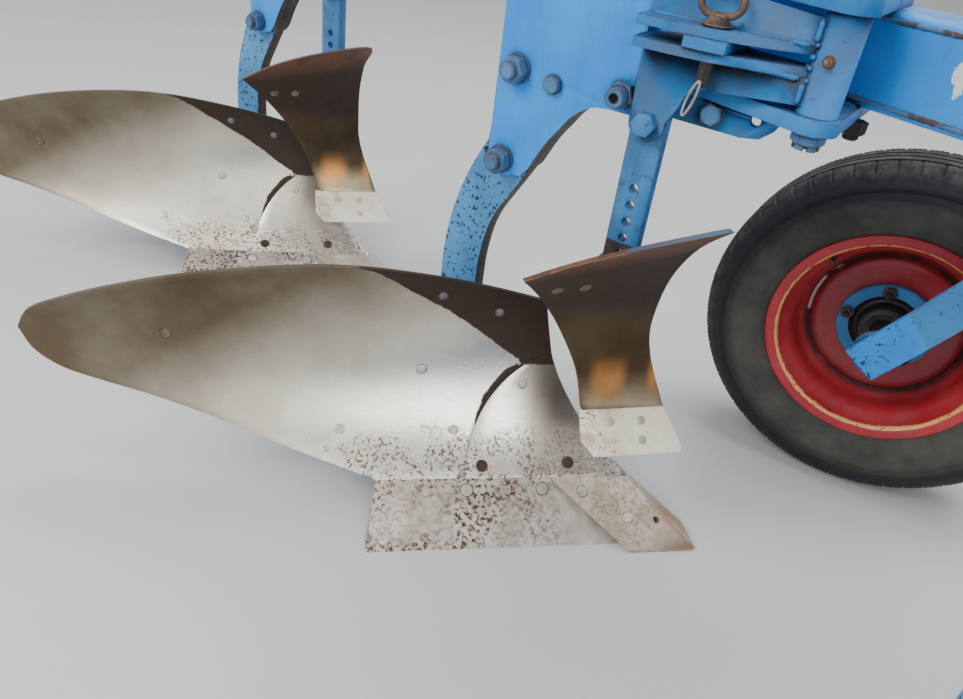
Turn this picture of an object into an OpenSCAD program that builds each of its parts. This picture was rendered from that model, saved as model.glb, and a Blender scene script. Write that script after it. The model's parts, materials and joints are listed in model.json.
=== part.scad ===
// Reversible mouldboard plough with stepped furrow width, parked on its lower bodies.
// +X is the direction of travel, +Y is the driver's left, +Z is up, the ground is z = 0.
// Lengths are in millimetres, angles in degrees.

/* [Plough] */
// Number of furrows, each with a lower and an upper body
furrows = 3; // [2:1:3]
// Distance from one body to the next along the direction of travel
body_pitch = 900; // [880:5:960]
// Width of one furrow, the sideways step from body to body
furrow_w = 373; // [350:1:390]
// Height of the turning axis and of the frame's middle above the ground
axis_h = 835; // [825:5:870]

/* [Share] */
// Angle between the cutting edge and the direction of travel
share_angle = 40.7; // [39:0.1:43]
// Slope of the share's face
share_pitch = 34; // [32:1:36]
// Height of the seam behind the share
share_rise = 68; // [64:1:72]
// Distance along the edge from the tip to the blade's rear corner
share_reach = 596; // [585:1:610]
// Distance along the edge from the tip to the blade's front end
point_reach = 131; // [120:1:145]
// Thickness of the blade
share_t = 10; // [8:1:12]
// How far the point stands ahead of the cutting edge
point_lead = 22; // [14:1:28]
// How far the point's face stands proud of the blade, measured level
point_proud = 8; // [6:0.5:10]
// Bolt hole of the point
point_hole_d = 13; // [11:0.5:15]

/* [Mouldboard] */
// Radius of the board's curl
curl_r = 308; // [295:1:330]
// Thickness of board and shin
board_t = 8; // [6:0.5:10]
// Turn of the level lines at the dip above the share
twist_dip = -8; // [-10:0.5:0]
// Turn of the level lines at the crest
twist_crest = 13.5; // [10:0.5:16]
// Height over the seam at which the twist is complete
twist_h = 353; // [330:1:380]
// Distance along the edge at which all level lines cross
twist_at = 500; // [450:5:550]
// Gap in the seams
seam_gap = 0.6; // [0.4:0.1:0.8]
// Length of the board's free wing past the share's rear corner
wing_reach = 547; // [480:1:570]
// Diameter of the stay behind the wing
stay_d = 26; // [22:1:32]

/* [Frog and landside] */
// Thickness of the frog across the travel
frog_t = 46; // [42:1:52]
// Thickness of the landside
landside_t = 12; // [10:1:16]
// Height of the landside
landside_h = 105; // [90:5:125]
// Length of the landside
landside_l = 400; // [360:10:430]
// Clearance of the landside from the furrow wall line
wall_gap = 2; // [1:1:4]

/* [Leg] */
// Thickness of the leg
leg_t = 29.6; // [26:0.2:32]
// Width of the leg
leg_w = 72; // [64:1:80]
// Radius of the leg's bend at its centre line
leg_r = 442; // [430:1:460]
// Clearance of a fit
fit = 0.2; // [0.1:0.05:0.3]
// Thickness of the cheek plates
cheek_t = 12; // [10:1:15]

/* [Console] */
// Diameter of the hinge sleeve
sleeve_d = 52; // [48:1:60]
// Diameter of the hinge pin
hinge_pin_d = 30; // [26:1:34]
// Thickness of the frame's bracket plates
bracket_t = 20; // [16:1:24]
// Thickness of each fork plate
fork_t = 12; // [10:1:16]
// Thickness of the frame's tongue between the fork plates
tongue_t = 14; // [12:1:18]
// Clearance of the tongue in the fork
tongue_gap = 0.5; // [0.3:0.1:0.8]
// Reach from the hinge to the near face of the frame
hinge_reach = 105; // [100:1:120]
// Thickness of the console's web plates
web_t = 12; // [10:1:15]
// Diameter of the pin that sets the furrow width
set_pin_d = 25; // [20:1:28]

/* [Skimmer] */
// Width of the skimmer's stalk
stalk_w = 50; // [44:1:56]
// Thickness of the skimmer's stalk
stalk_t = 22; // [18:1:24]
// Distance between the holes of the stalk
stalk_step = 26; // [22:1:30]
// Angle of the skimmer's share to the travel
skim_angle = 45; // [43:1:48]
// Height of the skimmer's cutting edge
skim_h = 205; // [195:5:240]
// Height of the skimmer's share
skim_rise = 60; // [50:1:70]
// Thickness of the skimmer's plates
skim_t = 7; // [6:0.5:9]
// Thickness of the skimmer's share
skim_share_t = 9; // [8:0.5:11]

/* [Frame] */
// Side of the square main beam
beam_w = 120; // [110:5:130]
// Wall of the main beam
beam_wall = 10; // [8:1:14]
// Turning axis to the right of the leading body's neighbour
axis_y = -190; // [-220:5:-170]
// Front face of the frame's head plate
head_x = 1150; // [1140:5:1180]
// Thickness of the head plate
head_t = 35; // [30:1:40]
// Diameter of the turning shaft
shaft_d = 100; // [90:1:110]

/* [Headstock] */
// Rear edge of the headstock
stock_x = 1200; // [1190:5:1230]
// Length of the shaft's bearing housing
housing_l = 210; // [190:5:230]
// Outer diameter of the bearing housing
housing_d = 150; // [140:2:170]
// Running clearance of the shaft, on the radius
run_fit = 0.06; // [0.04:0.01:0.08]
// Distance between the two side plates
stock_w = 360; // [350:5:390]
// Thickness of the side plates
stock_t = 20; // [16:1:25]
// Height of the lower link pins
link_z = 580; // [560:5:600]
// Height from the lower link pins to the top link pin
mast_h = 610; // [600:1:620]
// Distance between the shoulders of the lower link pins
link_span = 825; // [815:1:835]
// Diameter of the lower link pins
link_pin_d = 28; // [26:0.5:30]
// Length of the lower link pins
link_pin_l = 60; // [50:1:70]
// Diameter of the top link's hole
top_hole_d = 26; // [25:0.5:28]
// Distance between the top link lugs
top_gap = 54; // [50:1:60]
// Radius of the crank that the cylinder turns
crank_r = 110; // [100:1:115]
// Height of the cylinder's pivot above the turning axis
ram_h = 280; // [270:5:290]
// Diameter of the cylinder's barrel
ram_d = 70; // [60:1:75]

/* [Stand] */
// Side of the square parking stand
stand_w = 60; // [50:1:70]
// Length of the stand's foot
foot_w = 200; // [160:5:240]
// Clearance of the stand in its guide
stand_gap = 0.5; // [0.4:0.1:0.8]

/* [Depth wheel] */
// Outer diameter of the tyre
tyre_d = 656; // [640:2:670]
// Width of the tyre
tyre_w = 190; // [175:5:195]
// Distance of the wheel's middle plane from the landside of the middle body
wheel_y = 422; // [418:1:440]
// Distance of the wheel's axle ahead of the middle body's tip
wheel_x = 146; // [140:1:180]
// Distance of the swing arm's pivot ahead of the middle body's tip
swing_x = 700; // [690:1:720]
// Height of the swing arm's section
arm_h = 70; // [60:1:80]
// Thickness of the swing arm
arm_t = 36; // [30:1:40]
// Diameter of the rim's flange
rim_d = 411; // [400:1:420]
// Diameter of the wheel's stub axle
axle_d = 45; // [40:1:50]

/* [Hidden] */
$fn = 48;

// Direction of the frame: from body to body
frame_angle = atan(furrow_w / body_pitch);
// Distance from body to body along the beam
beam_pitch = body_pitch / cos(frame_angle);
// Running faces between plates that are bolted together
face_gap = 0.3;

// Middle of the leg, measured to the right of the landside line
leg_y = -35;
// Vertical plane of each plate beside the leg, from right to left
near_cheek_y = leg_y - leg_t / 2 - fit - cheek_t;
far_cheek_y = leg_y + leg_t / 2 + fit;
web_y = near_cheek_y - fit - web_t;

// Hinge of each console, from its body's tip
hinge = [-40, -55];
sleeve_h = beam_w - 2 * face_gap;
// Sideways place of a point from the beam's direction line through the tip
function beside(p) = p[0] * sin(frame_angle) + p[1] * cos(frame_angle);
function along(p) = p[0] * cos(frame_angle) - p[1] * sin(frame_angle);
beam_y = beside(hinge) + hinge_reach + beam_w / 2;
// Rear end of the beam, along its own direction
beam_tail = 240;
beam_rear = along(hinge) - (furrows - 2) * beam_pitch - beam_tail;

// Face of share and board: run s behind the cutting edge at height z, before the twist
seam_run = share_rise / tan(share_pitch);
curl_z = share_rise + curl_r * cos(share_pitch);
curl_run = seam_run - curl_r * sin(share_pitch);
function board_run(z) = z <= share_rise
    ? z / tan(share_pitch)
    : curl_run + sqrt(curl_r * curl_r - (z - curl_z) * (z - curl_z));
function twist_u(z) = max(0, z - share_rise) / twist_h;
function twist(z) = twist_dip * twist_u(z) + twist_crest * twist_u(z) * twist_u(z);
function board_s(t, z) = board_run(z) - (t - twist_at) * tan(twist(z));

// Face of the skimmer: upright at its waist, curled forward above and below
skim_waist_z = skim_h + 180;
skim_waist_run = 95;
skim_low_r = 240;
skim_high_r = 285;
skim_turn = 16;
skim_turn_h = 330;
skim_turn_at = 150;
function skim_arc(z, r) = skim_waist_run - r + sqrt(r * r - (z - skim_waist_z) * (z - skim_waist_z));
function skim_run(z) = skim_arc(z, z < skim_waist_z ? skim_low_r : skim_high_r);
function skim_twist(z) = skim_turn * pow(max(0, z - skim_h - skim_rise) / skim_turn_h, 1.5);
function skim_s(t, z) = skim_run(z) - (t - skim_turn_at) * tan(skim_twist(z));

// Run of either face: kind 0 is the mouldboard, kind 1 the skimmer
function face_s(kind, t, z) = kind == 0 ? board_s(t, z) : skim_s(t, z);
function slope_z(kind, t, z) = (face_s(kind, t, z + 0.5) - face_s(kind, t, z - 0.5));
function slope_t(kind, t, z) = (face_s(kind, t + 0.5, z) - face_s(kind, t - 0.5, z));
// Level thickness that gives a plate its true thickness square to the face
function level_t(kind, t, z, thick) =
    thick * sqrt(1 + pow(slope_z(kind, t, z), 2) + pow(slope_t(kind, t, z), 2));

// Smooth curve through points: n steps in each span
function blend(a, b, c, d, u) = 0.5 * (2 * b + (c - a) * u + (2 * a - 5 * b + 4 * c - d) * u * u
    + (3 * b - a - 3 * c + d) * u * u * u);
function spline(p, n) = let (m = len(p) - 1) concat(
    [for (i = [0:m - 1], k = [0:n - 1])
        blend(p[max(i - 1, 0)], p[i], p[i + 1], p[min(i + 2, m)], k / n)], [p[m]]);
// Straight run from a to b in n steps, without its last point
function straight(a, b, n) = [for (k = [0:n - 1]) a + (b - a) * k / n];
// Point u of the way along a list of points
function pick(p, u) = let (x = u * (len(p) - 1), i = min(floor(x), len(p) - 2))
    p[i] + (p[i + 1] - p[i]) * (x - i);

// Outlines are seen square to the cutting edge: t along the edge from the tip, and height z
wing_t = share_reach - 20;
wing_end = share_reach + wing_reach;
shin_top_z = 252;
shin_foot_t = 421;
// Front edge of shin and board: where the face meets the landside line
function front_t(z) = let (t = board_run(z) / tan(share_angle)) board_s(t, z) / tan(share_angle);

// Crest of the board: distance past the front edge as a share of its length, and height
crest = [
    [front_t(352), 352], [392, 380], [500, 404], [610, 423], [700, 428], [800, 422], [900, 406],
    [wing_end - 150, 380], [wing_end - 75, 352], [wing_end - 22, 325], [wing_end, 290]
];
// Free lower edge of the wing
hem = [
    [wing_t, share_rise + seam_gap], [680, 93], [770, 118], [860, 146], [950, 173],
    [wing_end - 120, 193], [wing_end - 55, 215], [wing_end - 15, 246], [wing_end, 286]
];
// Curved seam between shin and board
shin_seam = [
    [front_t(shin_top_z), shin_top_z], [300, 240], [345, 207], [385, 160], [410, 110],
    [shin_foot_t, share_rise + seam_gap]
];

// Plate with the face of the given kind between a lower and an upper line of (t, z) points
module face_plate(kind, low, high, rows, thick) {
    n = len(low);
    grid = [for (j = [0:rows], i = [0:n - 1]) low[i] + (high[i] - low[i]) * j / rows];
    front = [for (g = grid) [-g[0], face_s(kind, g[0], g[1]), g[1]]];
    back = [for (g = grid)
        [-g[0], face_s(kind, g[0], g[1]) + level_t(kind, g[0], g[1], thick), g[1]]];
    m = len(grid);
    quads = [for (j = [0:rows - 1], i = [0:n - 2])
        [j * n + i, j * n + i + 1, (j + 1) * n + i + 1, (j + 1) * n + i]];
    rim = concat(
        [for (i = [0:n - 2]) [i, i + 1]],
        [for (j = [0:rows - 1]) [j * n + n - 1, (j + 1) * n + n - 1]],
        [for (i = [n - 1:-1:1]) [rows * n + i, rows * n + i - 1]],
        [for (j = [rows:-1:1]) [j * n, (j - 1) * n]]);
    faces = concat(
        [for (q = quads) [q[0], q[3], q[2]]], [for (q = quads) [q[0], q[2], q[1]]],
        [for (q = quads) [q[0] + m, q[1] + m, q[2] + m]], [for (q = quads) [q[0] + m, q[2] + m, q[3] + m]],
        [for (e = rim) [e[0], e[1], e[1] + m]], [for (e = rim) [e[0], e[1] + m, e[0] + m]]);
    polyhedron(points = concat(front, back), faces = faces, convexity = 4);
}

// Solid seen as one outline along the edge and as one profile across it
module cut_bar(outline, profile, depth) {
    intersection() {
        translate([0, -depth, 0]) rotate([90, 0, 0]) mirror([0, 0, 1])
            linear_extrude(2 * depth) polygon([for (p = outline) [-p[0], p[1]]]);
        translate([-2 * share_reach, 0, 0]) rotate([90, 0, 90])
            linear_extrude(3 * share_reach) polygon(profile);
    }
}

// Flat bar with round ends between two points
module bar2(p, q, w) {
    d = q - p;
    translate(p) circle(d = w);
    translate(q) circle(d = w);
    translate(p) rotate(atan2(d[1], d[0])) translate([0, -w / 2]) square([norm(d), w]);
}

// Plate in the vertical plane of travel, its outline in x and z, from y to y + t
module side_plate(y, t) {
    translate([0, y + t, 0]) rotate([90, 0, 0]) linear_extrude(t) children();
}

// Level plate from z to z + t
module level_plate(z, t) {
    translate([0, 0, z]) linear_extrude(t) children();
}

// Round bar along the sideways axis
module cross_bar(x, z, y, l, d) {
    translate([x, y, z]) rotate([-90, 0, 0]) cylinder(d = d, h = l);
}

// Round bar between two points
module rod(a, b, d) {
    v = b - a;
    translate(a) rotate([0, acos(v[2] / norm(v)), atan2(v[1], v[0])]) cylinder(d = d, h = norm(v));
}

// Six-sided head or nut
module hex(across, h) {
    cylinder(d = across / cos(30), h = h, $fn = 6);
}

// Whole model's origin: on the ground, under the middle of its bounding box
rear_point = [-wing_end, board_s(wing_end, 288)];
function turned(p) = concat(turn(p, share_angle), p[2]);
function turn(p, a) = [p[0] * cos(a) - p[1] * sin(a), p[0] * sin(a) + p[1] * cos(a)];
wing_tip = turn(rear_point, share_angle);
link_x = stock_x + 370;
lug_x = link_x + 20;
lug_r = 30;
low_x = wing_tip[0] - (furrows - 2) * body_pitch;
high_x = lug_x + lug_r;
low_y = wing_tip[1] - furrow_w;
high_y = max(wheel_y + tyre_w / 2,
    -beam_rear * sin(frame_angle) + (beam_y + beam_w / 2) * cos(frame_angle));
module place() {
    translate([-(low_x + high_x) / 2, -(low_y + high_y) / 2, 0]) children();
}

// One copy at each body, upright below and mirrored above the turning axis
module at_station(i) {
    translate([(1 - i) * body_pitch, (i - 1) * furrow_w, 0]) children();
}
module each_station() {
    place() for (i = [0:furrows - 1]) at_station(i) children();
}
module both_ways() {
    children();
    translate([0, 0, 2 * axis_h]) mirror([0, 0, 1]) children();
}
module each_body() {
    each_station() both_ways() children();
}
module edge_frame(a) {
    rotate([0, 0, a]) children();
}

module mouldboards() {
    n = 3;
    low = concat(spline(shin_seam, n), straight([shin_foot_t + 30, share_rise + seam_gap],
        [wing_t, share_rise + seam_gap], 4), spline(hem, n));
    top_curve = spline(crest, 4);
    high = [for (i = [0:len(low) - 1]) pick(top_curve, i / (len(low) - 1))];
    color([0.62, 0.6, 0.55]) each_body() edge_frame(share_angle) face_plate(0, low, high, 8, board_t);
}

// The shin fills the corner between the seam and the front edge
module shins() {
    n = 3;
    outer = spline(shin_seam, n);
    steps = len(outer);
    low = [for (p = outer) [p[0] - seam_gap, p[1]]];
    high = [for (i = [0:steps - 1])
        let (z = shin_top_z - 4 + (share_rise + seam_gap - shin_top_z + 4) * i / (steps - 1))
        [front_t(z), z]];
    color([0.66, 0.64, 0.6]) each_body() edge_frame(share_angle)
        face_plate(0, [for (p = high) p], [for (p = low) p], 3, board_t);
}

module shares() {
    run = share_t / sin(share_pitch);
    color([0.7, 0.67, 0.62]) each_body() edge_frame(share_angle) cut_bar(
        [[point_reach, -1], [share_reach, -1], [share_reach, 0], [share_reach - 20, share_rise],
         [2 * point_reach, share_rise], [point_reach, 0]],
        [[0, 0], [run, 0], [seam_run + run, share_rise], [seam_run, share_rise]], share_reach);
}

module points() {
    run = share_t / sin(share_pitch);
    lift = 6;
    color([0.72, 0.68, 0.6]) each_body() edge_frame(share_angle) difference() {
        cut_bar(
            [[44, -1], [point_reach - seam_gap, -1], [point_reach - seam_gap, 0],
             [2 * point_reach - seam_gap, share_rise], [front_t(share_rise), share_rise],
             [21, 13], [15, 6], [24, 1]],
            [[-point_lead, 0], [run, 0], [seam_run + run, share_rise],
             [seam_run - point_proud, share_rise], [-point_lead, lift]], share_reach);
        translate([-point_reach / 2 - 12, 30, 24]) rotate([share_pitch, 0, 0]) translate([0, 0, -60])
            cylinder(d = point_hole_d, h = 120);
    }
}

// Landside: the bar that slides along the furrow wall
module landsides() {
    front = -175;
    color("steelblue") each_body() side_plate(-wall_gap - landside_t, landside_t)
        polygon([[front - landside_h, landside_h + 6], [front, 4], [front - landside_l, 4],
                 [front - landside_l, landside_h - 25], [front - landside_l + 30, landside_h + 6]]);
}

// Rear end of the frog, behind the tip
frog_rear = -590;

// Frog: the casting that joins leg, share, board and landside
module frogs() {
    frog_y = -wall_gap - landside_t - face_gap - frog_t;
    leg_foot = 150;
    rear = frog_rear;
    back_run = share_t / sin(share_pitch) + face_gap / sin(share_pitch);
    board_back = board_t * 1.25 + face_gap;
    color("steelblue") each_body() difference() {
        side_plate(frog_y, frog_t)
            polygon([[-90, 12], [rear + 10, 12], [rear, 24], [rear, 262], [rear + 12, 275], [-485, 275],
                     [-462, 262], [-380, 205], [-230, 80]]);
        side_plate(leg_y - leg_t / 2 - fit, leg_t + 2 * fit)
            translate([leg_x() - leg_w / 2 - fit, leg_foot - face_gap]) square([leg_w + 2 * fit, 150]);
        edge_frame(share_angle) translate([-2 * share_reach, 0, 0]) rotate([90, 0, 90])
            linear_extrude(3 * share_reach)
                polygon([[-400, -10], [back_run, -10], [back_run, 0], [seam_run + back_run, share_rise],
                         [seam_run + back_run, 600], [-400, 600]]);
        edge_frame(share_angle) translate([-2 * share_reach, curl_run, curl_z]) rotate([0, 90, 0])
            cylinder(r = curl_r + board_back, h = 3 * share_reach, $fn = 96);
    }
}

// Straight lower part of the leg stands at this distance behind the tip
function leg_x() = -532;
// The bend starts at this height and its centre lies ahead of the leg
bend_z = axis_h - 455;
bend_x = leg_x() + leg_r;
// Bolts through leg and cheeks, from the tip
low_bolt = [-471, axis_h - 236];
top_bolt = [-463, axis_h - 96];
shear_bolt = [-401, axis_h - 105];
front_bolt = [-293, axis_h - 94];
bolt_d = 24;
shear_d = 16;
// Front edge of cheek and leg from the top: distance from the tip, height from the turning axis
bow = [[-309, -119], [-336, -123], [-362, -141], [-381, -167], [-401, -197], [-422, -240]];
shank = [[-336, -123], [-362, -141], [-381, -167], [-401, -197], [-422, -240], [-450, -290],
         [-475, -335], [-488, -375], [-495, -425], [-496, -455]];
function from_axis(l) = [for (q = l) [q[0], axis_h + q[1]]];

// Points of an arc about c from angle a to angle b
function arc(c, r, a, b, n) = [for (i = [0:n]) let (t = a + (b - a) * i / n) c + r * [cos(t), sin(t)]];
module leg_outline() {
    foot = 150;
    bend = [bend_x, bend_z];
    difference() {
        polygon(concat(
            [[leg_x() - leg_w / 2, foot]], arc(bend, leg_r + leg_w / 2, 180, 150, 12),
            from_axis([[-494, -90], [-480, -62], [-330, -62], [-330, -122]]),
            from_axis(spline(shank, 3)), [[leg_x() + leg_w / 2, foot]]));
        translate(low_bolt) circle(d = bolt_d + 2 * fit);
        translate(top_bolt) circle(d = bolt_d + 2 * fit);
        translate(shear_bolt) circle(d = shear_d + 2 * fit);
    }
}

module legs() {
    color("steelblue") each_body() side_plate(leg_y - leg_t / 2, leg_t) leg_outline();
}

// Lower half of a cheek plate; the upper half mirrors it
module cheek_half() {
    difference() {
        polygon(from_axis(concat([[-495, 1], [cheek_front, 1], [cheek_front, -119]], spline(bow, 3),
            [[-434, -254], [-461, -260], [-484, -258], [-495, -246]])));
        translate(low_bolt) circle(d = bolt_d + 2 * fit);
        translate(top_bolt) circle(d = bolt_d + 2 * fit);
        translate(shear_bolt) circle(d = shear_d + 2 * fit);
        translate(front_bolt) circle(d = bolt_d + 2 * fit);
    }
}
cheek_front = -277;

module cheek_outline() {
    cheek_half();
    translate([0, 2 * axis_h]) mirror([0, 1]) cheek_half();
}

module cheeks() {
    color("royalblue") each_station() {
        side_plate(near_cheek_y, cheek_t) cheek_outline();
        side_plate(far_cheek_y, cheek_t) cheek_outline();
    }
}

// Bolts through both cheeks and the leg, with heads on the right and nuts on the left
module leg_bolts() {
    head = 15;
    y0 = near_cheek_y - head;
    grip = far_cheek_y + cheek_t - near_cheek_y;
    color("silver") each_body() {
        for (b = [[low_bolt, bolt_d], [top_bolt, bolt_d], [shear_bolt, shear_d], [front_bolt, bolt_d]]) {
            cross_bar(b[0][0], b[0][1], y0 + head / 2, grip + 1.5 * head, b[1]);
            translate([b[0][0], y0, b[0][1]]) rotate([-90, 0, 0]) rotate([0, 0, 30])
                hex(1.5 * b[1], head - face_gap);
            translate([b[0][0], far_cheek_y + cheek_t + face_gap, b[0][1]]) rotate([-90, 0, 0])
                rotate([0, 0, 30]) hex(1.5 * b[1], head);
        }
    }
}

// Console: hinge sleeve, fork plates and webs that carry the cheeks and the skimmer's clamp
fork_z = tongue_t / 2 + tongue_gap;
fork_top = fork_z + fork_t;
fork_left = cheek_front - 1;
web_left = cheek_front + 4;
clamp_x = -247;
clamp_r = 26;
clamp_bolt = [clamp_x, axis_h - 120];
set_pin = [-181, -91];

module fork_outline() {
    difference() {
        polygon([[fork_left, -110], [-230, -113], [-185, -110], [-140, -100], [-100, -84],
                 hinge + [4 - sleeve_d / 2, -8], hinge + [4 - sleeve_d / 2, 16], [-150, -14],
                 [cheek_front + 20, -12], [fork_left, web_y + web_t + 4]]);
        translate(hinge) circle(d = sleeve_d - 4);
        translate(set_pin) circle(d = set_pin_d + 1);
        translate([cheek_front - 60, near_cheek_y - fit]) square([60 + face_gap, 200]);
    }
}

// Web below the fork on the near side, drawn in x and z, with the clamp for the skimmer's stalk
module web_outline() {
    difference() {
        union() {
            translate(clamp_bolt) circle(r = clamp_r);
            polygon([clamp_bolt + [-clamp_r, 0], [web_left, axis_h - 60], [web_left, axis_h - fork_top],
                     [hinge[0] - sleeve_d / 4, axis_h - fork_top], [hinge[0] - sleeve_d / 4, axis_h - 50],
                     [-195, axis_h - 61], [-203, axis_h - 73], [-210, axis_h - 93],
                     clamp_bolt + [clamp_r - 1, 4]]);
        }
        translate(clamp_bolt) circle(d = bolt_d + 2 * fit);
    }
}

// Inner web of the console, a plate with one bolt and one hole
module inner_outline() {
    difference() {
        polygon(from_axis([[-240, -fork_top], [-240, -103], [-228, -117], [-130, -119], [-104, -115],
            [-88, -101], [-81, -86], [-81, -83], [-212, -83], [-212, -fork_top]]));
        translate([-115, axis_h - 93]) circle(d = 15);
    }
}

module consoles() {
    inner_y = far_cheek_y - 6;
    color("steelblue") each_station() difference() {
        union() {
            translate([hinge[0], hinge[1], axis_h - sleeve_h / 2]) cylinder(d = sleeve_d, h = sleeve_h);
            both_ways() {
                level_plate(axis_h - fork_top, fork_t) fork_outline();
                side_plate(web_y, web_t) web_outline();
                side_plate(inner_y, web_t) inner_outline();
            }
        }
        translate([hinge[0], hinge[1], axis_h - sleeve_h])
            cylinder(d = hinge_pin_d + 2 * fit, h = 2 * sleeve_h);
    }
}

module hinge_pins() {
    reach = sleeve_h / 2 + face_gap + bracket_t;
    color("dimgray") each_station() translate([hinge[0], hinge[1], axis_h]) both_ways_here() {
        cylinder(d = hinge_pin_d, h = reach + 6);
        translate([0, 0, reach + face_gap]) cylinder(d = hinge_pin_d + 14, h = 5);
        translate([0, 0, reach + 5]) hex(38, 16);
    }
}
// Mirror about the local level plane
module both_ways_here() {
    children();
    mirror([0, 0, 1]) children();
}

// Ring-topped pins that set the furrow width, each with its linch pin
module width_pins() {
    above = fork_top + 22;
    below = fork_top + 38;
    ring_r = 24;
    ring_d = 10;
    color("peru") each_station() translate([set_pin[0], set_pin[1], axis_h]) {
        translate([0, 0, -below]) cylinder(d = set_pin_d, h = above + below);
        translate([0, 0, fork_top + face_gap]) cylinder(d = set_pin_d + 6, h = 8);
        translate([0, 0, above + ring_r - 4]) rotate([90, 0, 0]) rotate_extrude()
            translate([ring_r, 0]) circle(d = ring_d, $fn = 16);
        translate([0, 0, -below + 12]) rotate([0, 90, 0]) cylinder(d = 9, h = 44, center = true);
    }
}

// Skimmers: perforated stalk, clamp bolt, bracket, board and share
stalk_y = near_cheek_y - fit + face_gap;
stalk_low = skim_h + 235;
stalk_top = axis_h - 35;
module skimmer_stalks() {
    color("steelblue") each_body() {
        difference() {
            side_plate(stalk_y, stalk_t) translate([clamp_x - stalk_w / 2, stalk_low])
                square([stalk_w, stalk_top - stalk_low]);
            for (k = [0:4])
                cross_bar(clamp_x, axis_h - 219 - k * stalk_step, stalk_y - 5, stalk_t + 10, 14);
            cross_bar(clamp_bolt[0], clamp_bolt[1], stalk_y - 5, stalk_t + 10, bolt_d + 2 * fit);
        }
        cross_bar(clamp_bolt[0], clamp_bolt[1], web_y - 8, web_t + stalk_t + 18, bolt_d);
        translate([clamp_bolt[0], web_y - 15, clamp_bolt[1]]) rotate([-90, 0, 0]) hex(36, 14.6);
        translate([clamp_bolt[0], stalk_y + stalk_t + face_gap, clamp_bolt[1]]) rotate([-90, 0, 0])
            hex(36, 12);
    }
}

// Socket on the stalk's foot with the arm that carries the skimmer's board
module skimmer_brackets() {
    sock = 8;
    color("dimgray") each_body() difference() {
        side_plate(stalk_y - sock, stalk_t + 2 * sock) translate([0, skim_h]) polygon([
            [clamp_x - stalk_w / 2 - sock, 290], [clamp_x + stalk_w / 2 + sock, 290],
            [clamp_x + stalk_w / 2 + sock, 225], [-180, 185], [-150, 125], [-175, 85], [-205, 95],
            [-235, 155], [clamp_x - stalk_w / 2 - sock, 215]]);
        translate([clamp_x - stalk_w / 2 - fit, stalk_y - fit, stalk_low - face_gap])
            cube([stalk_w + 2 * fit, stalk_t + 2 * fit, 200]);
        edge_frame(skim_angle) translate([-800, 0, 0]) rotate([90, 0, 90]) linear_extrude(1600)
            polygon(concat([[-600, 100], [-600, 700]],
                [for (z = [640:-20:200]) [skim_s(128, z) + level_t(1, 128, z, skim_t) + face_gap, z]]));
    }
}

// Outline of the skimmer's board: furrow side and crest, t along the edge and height
skim_side = [[254, 266], [268, 330], [312, 410], [362, 480], [411, 537]];
skim_crest = [[139, 344], [151, 391], [154, 438], [156, 508], [152, 574], [146, 625], [250, 609], [337, 580],
              [411, 538]];
module skimmer_boards() {
    lift = skim_h - 205;
    top_curve = spline(skim_crest, 4);
    seam_z = skim_h + skim_rise + seam_gap;
    side = spline([for (p = skim_side) [p[0], max(seam_z, p[1] + lift)]], 3);
    low = concat(straight([109, seam_z], [skim_side[0][0], seam_z], 9), side);
    n = len(low) - 1;
    high = [for (i = [0:n]) pick(top_curve, i / n) + [0, lift]];
    color([0.5, 0.42, 0.33]) each_body() edge_frame(skim_angle) face_plate(1, low, high, 5, skim_t);
}

module skimmer_shares() {
    n = 6;
    low = [for (i = [0:n]) [78 + (255 - 78) * i / n, skim_h]];
    high = [for (i = [0:n]) [108 + (255 - 108) * i / n, skim_h + skim_rise]];
    color([0.85, 0.8, 0.68]) each_body() edge_frame(skim_angle) face_plate(1, low, high, 3, skim_share_t);
}

// Curved stay from the frog's rear to the back of the wing
module wing_stays() {
    at_t = 800;
    at_z = 250;
    back = [-at_t, board_s(at_t, at_z) + level_t(0, at_t, at_z, board_t), at_z];
    out = [slope_t(0, at_t, at_z), 1, -slope_z(0, at_t, at_z)];
    tab = back + 0.5 * out / norm(out);
    seat = back + 26 * out / norm(out);
    root = [frog_rear - stay_d / 2 - face_gap, leg_y - 8, 190];
    color("steelblue") each_body() {
        rod(root, turned(seat), stay_d);
        rod(turned(tab), turned(seat), 34);
        rod(root - [0, 0, 20], root + [0, 0, 20], stay_d);
    }
}

// Main beam, drawn along its own direction, its front end cut square to the travel
beam_front = (head_x - head_t) / cos(frame_angle) + 200;
module beam_frame() {
    place() rotate([0, 0, -frame_angle]) translate([0, beam_y, axis_h]) children();
}
module main_beam() {
    color("steelblue") difference() {
        beam_frame() difference() {
            translate([beam_rear, -beam_w / 2, -beam_w / 2]) cube([beam_front - beam_rear, beam_w, beam_w]);
            translate([beam_rear + beam_wall, -beam_w / 2 + beam_wall, -beam_w / 2 + beam_wall])
                cube([beam_front - beam_rear, beam_w - 2 * beam_wall, beam_w - 2 * beam_wall]);
        }
        place() translate([head_x - head_t - face_gap, -2000, 0]) cube([2000, 4000, 2000]);
    }
}

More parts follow.
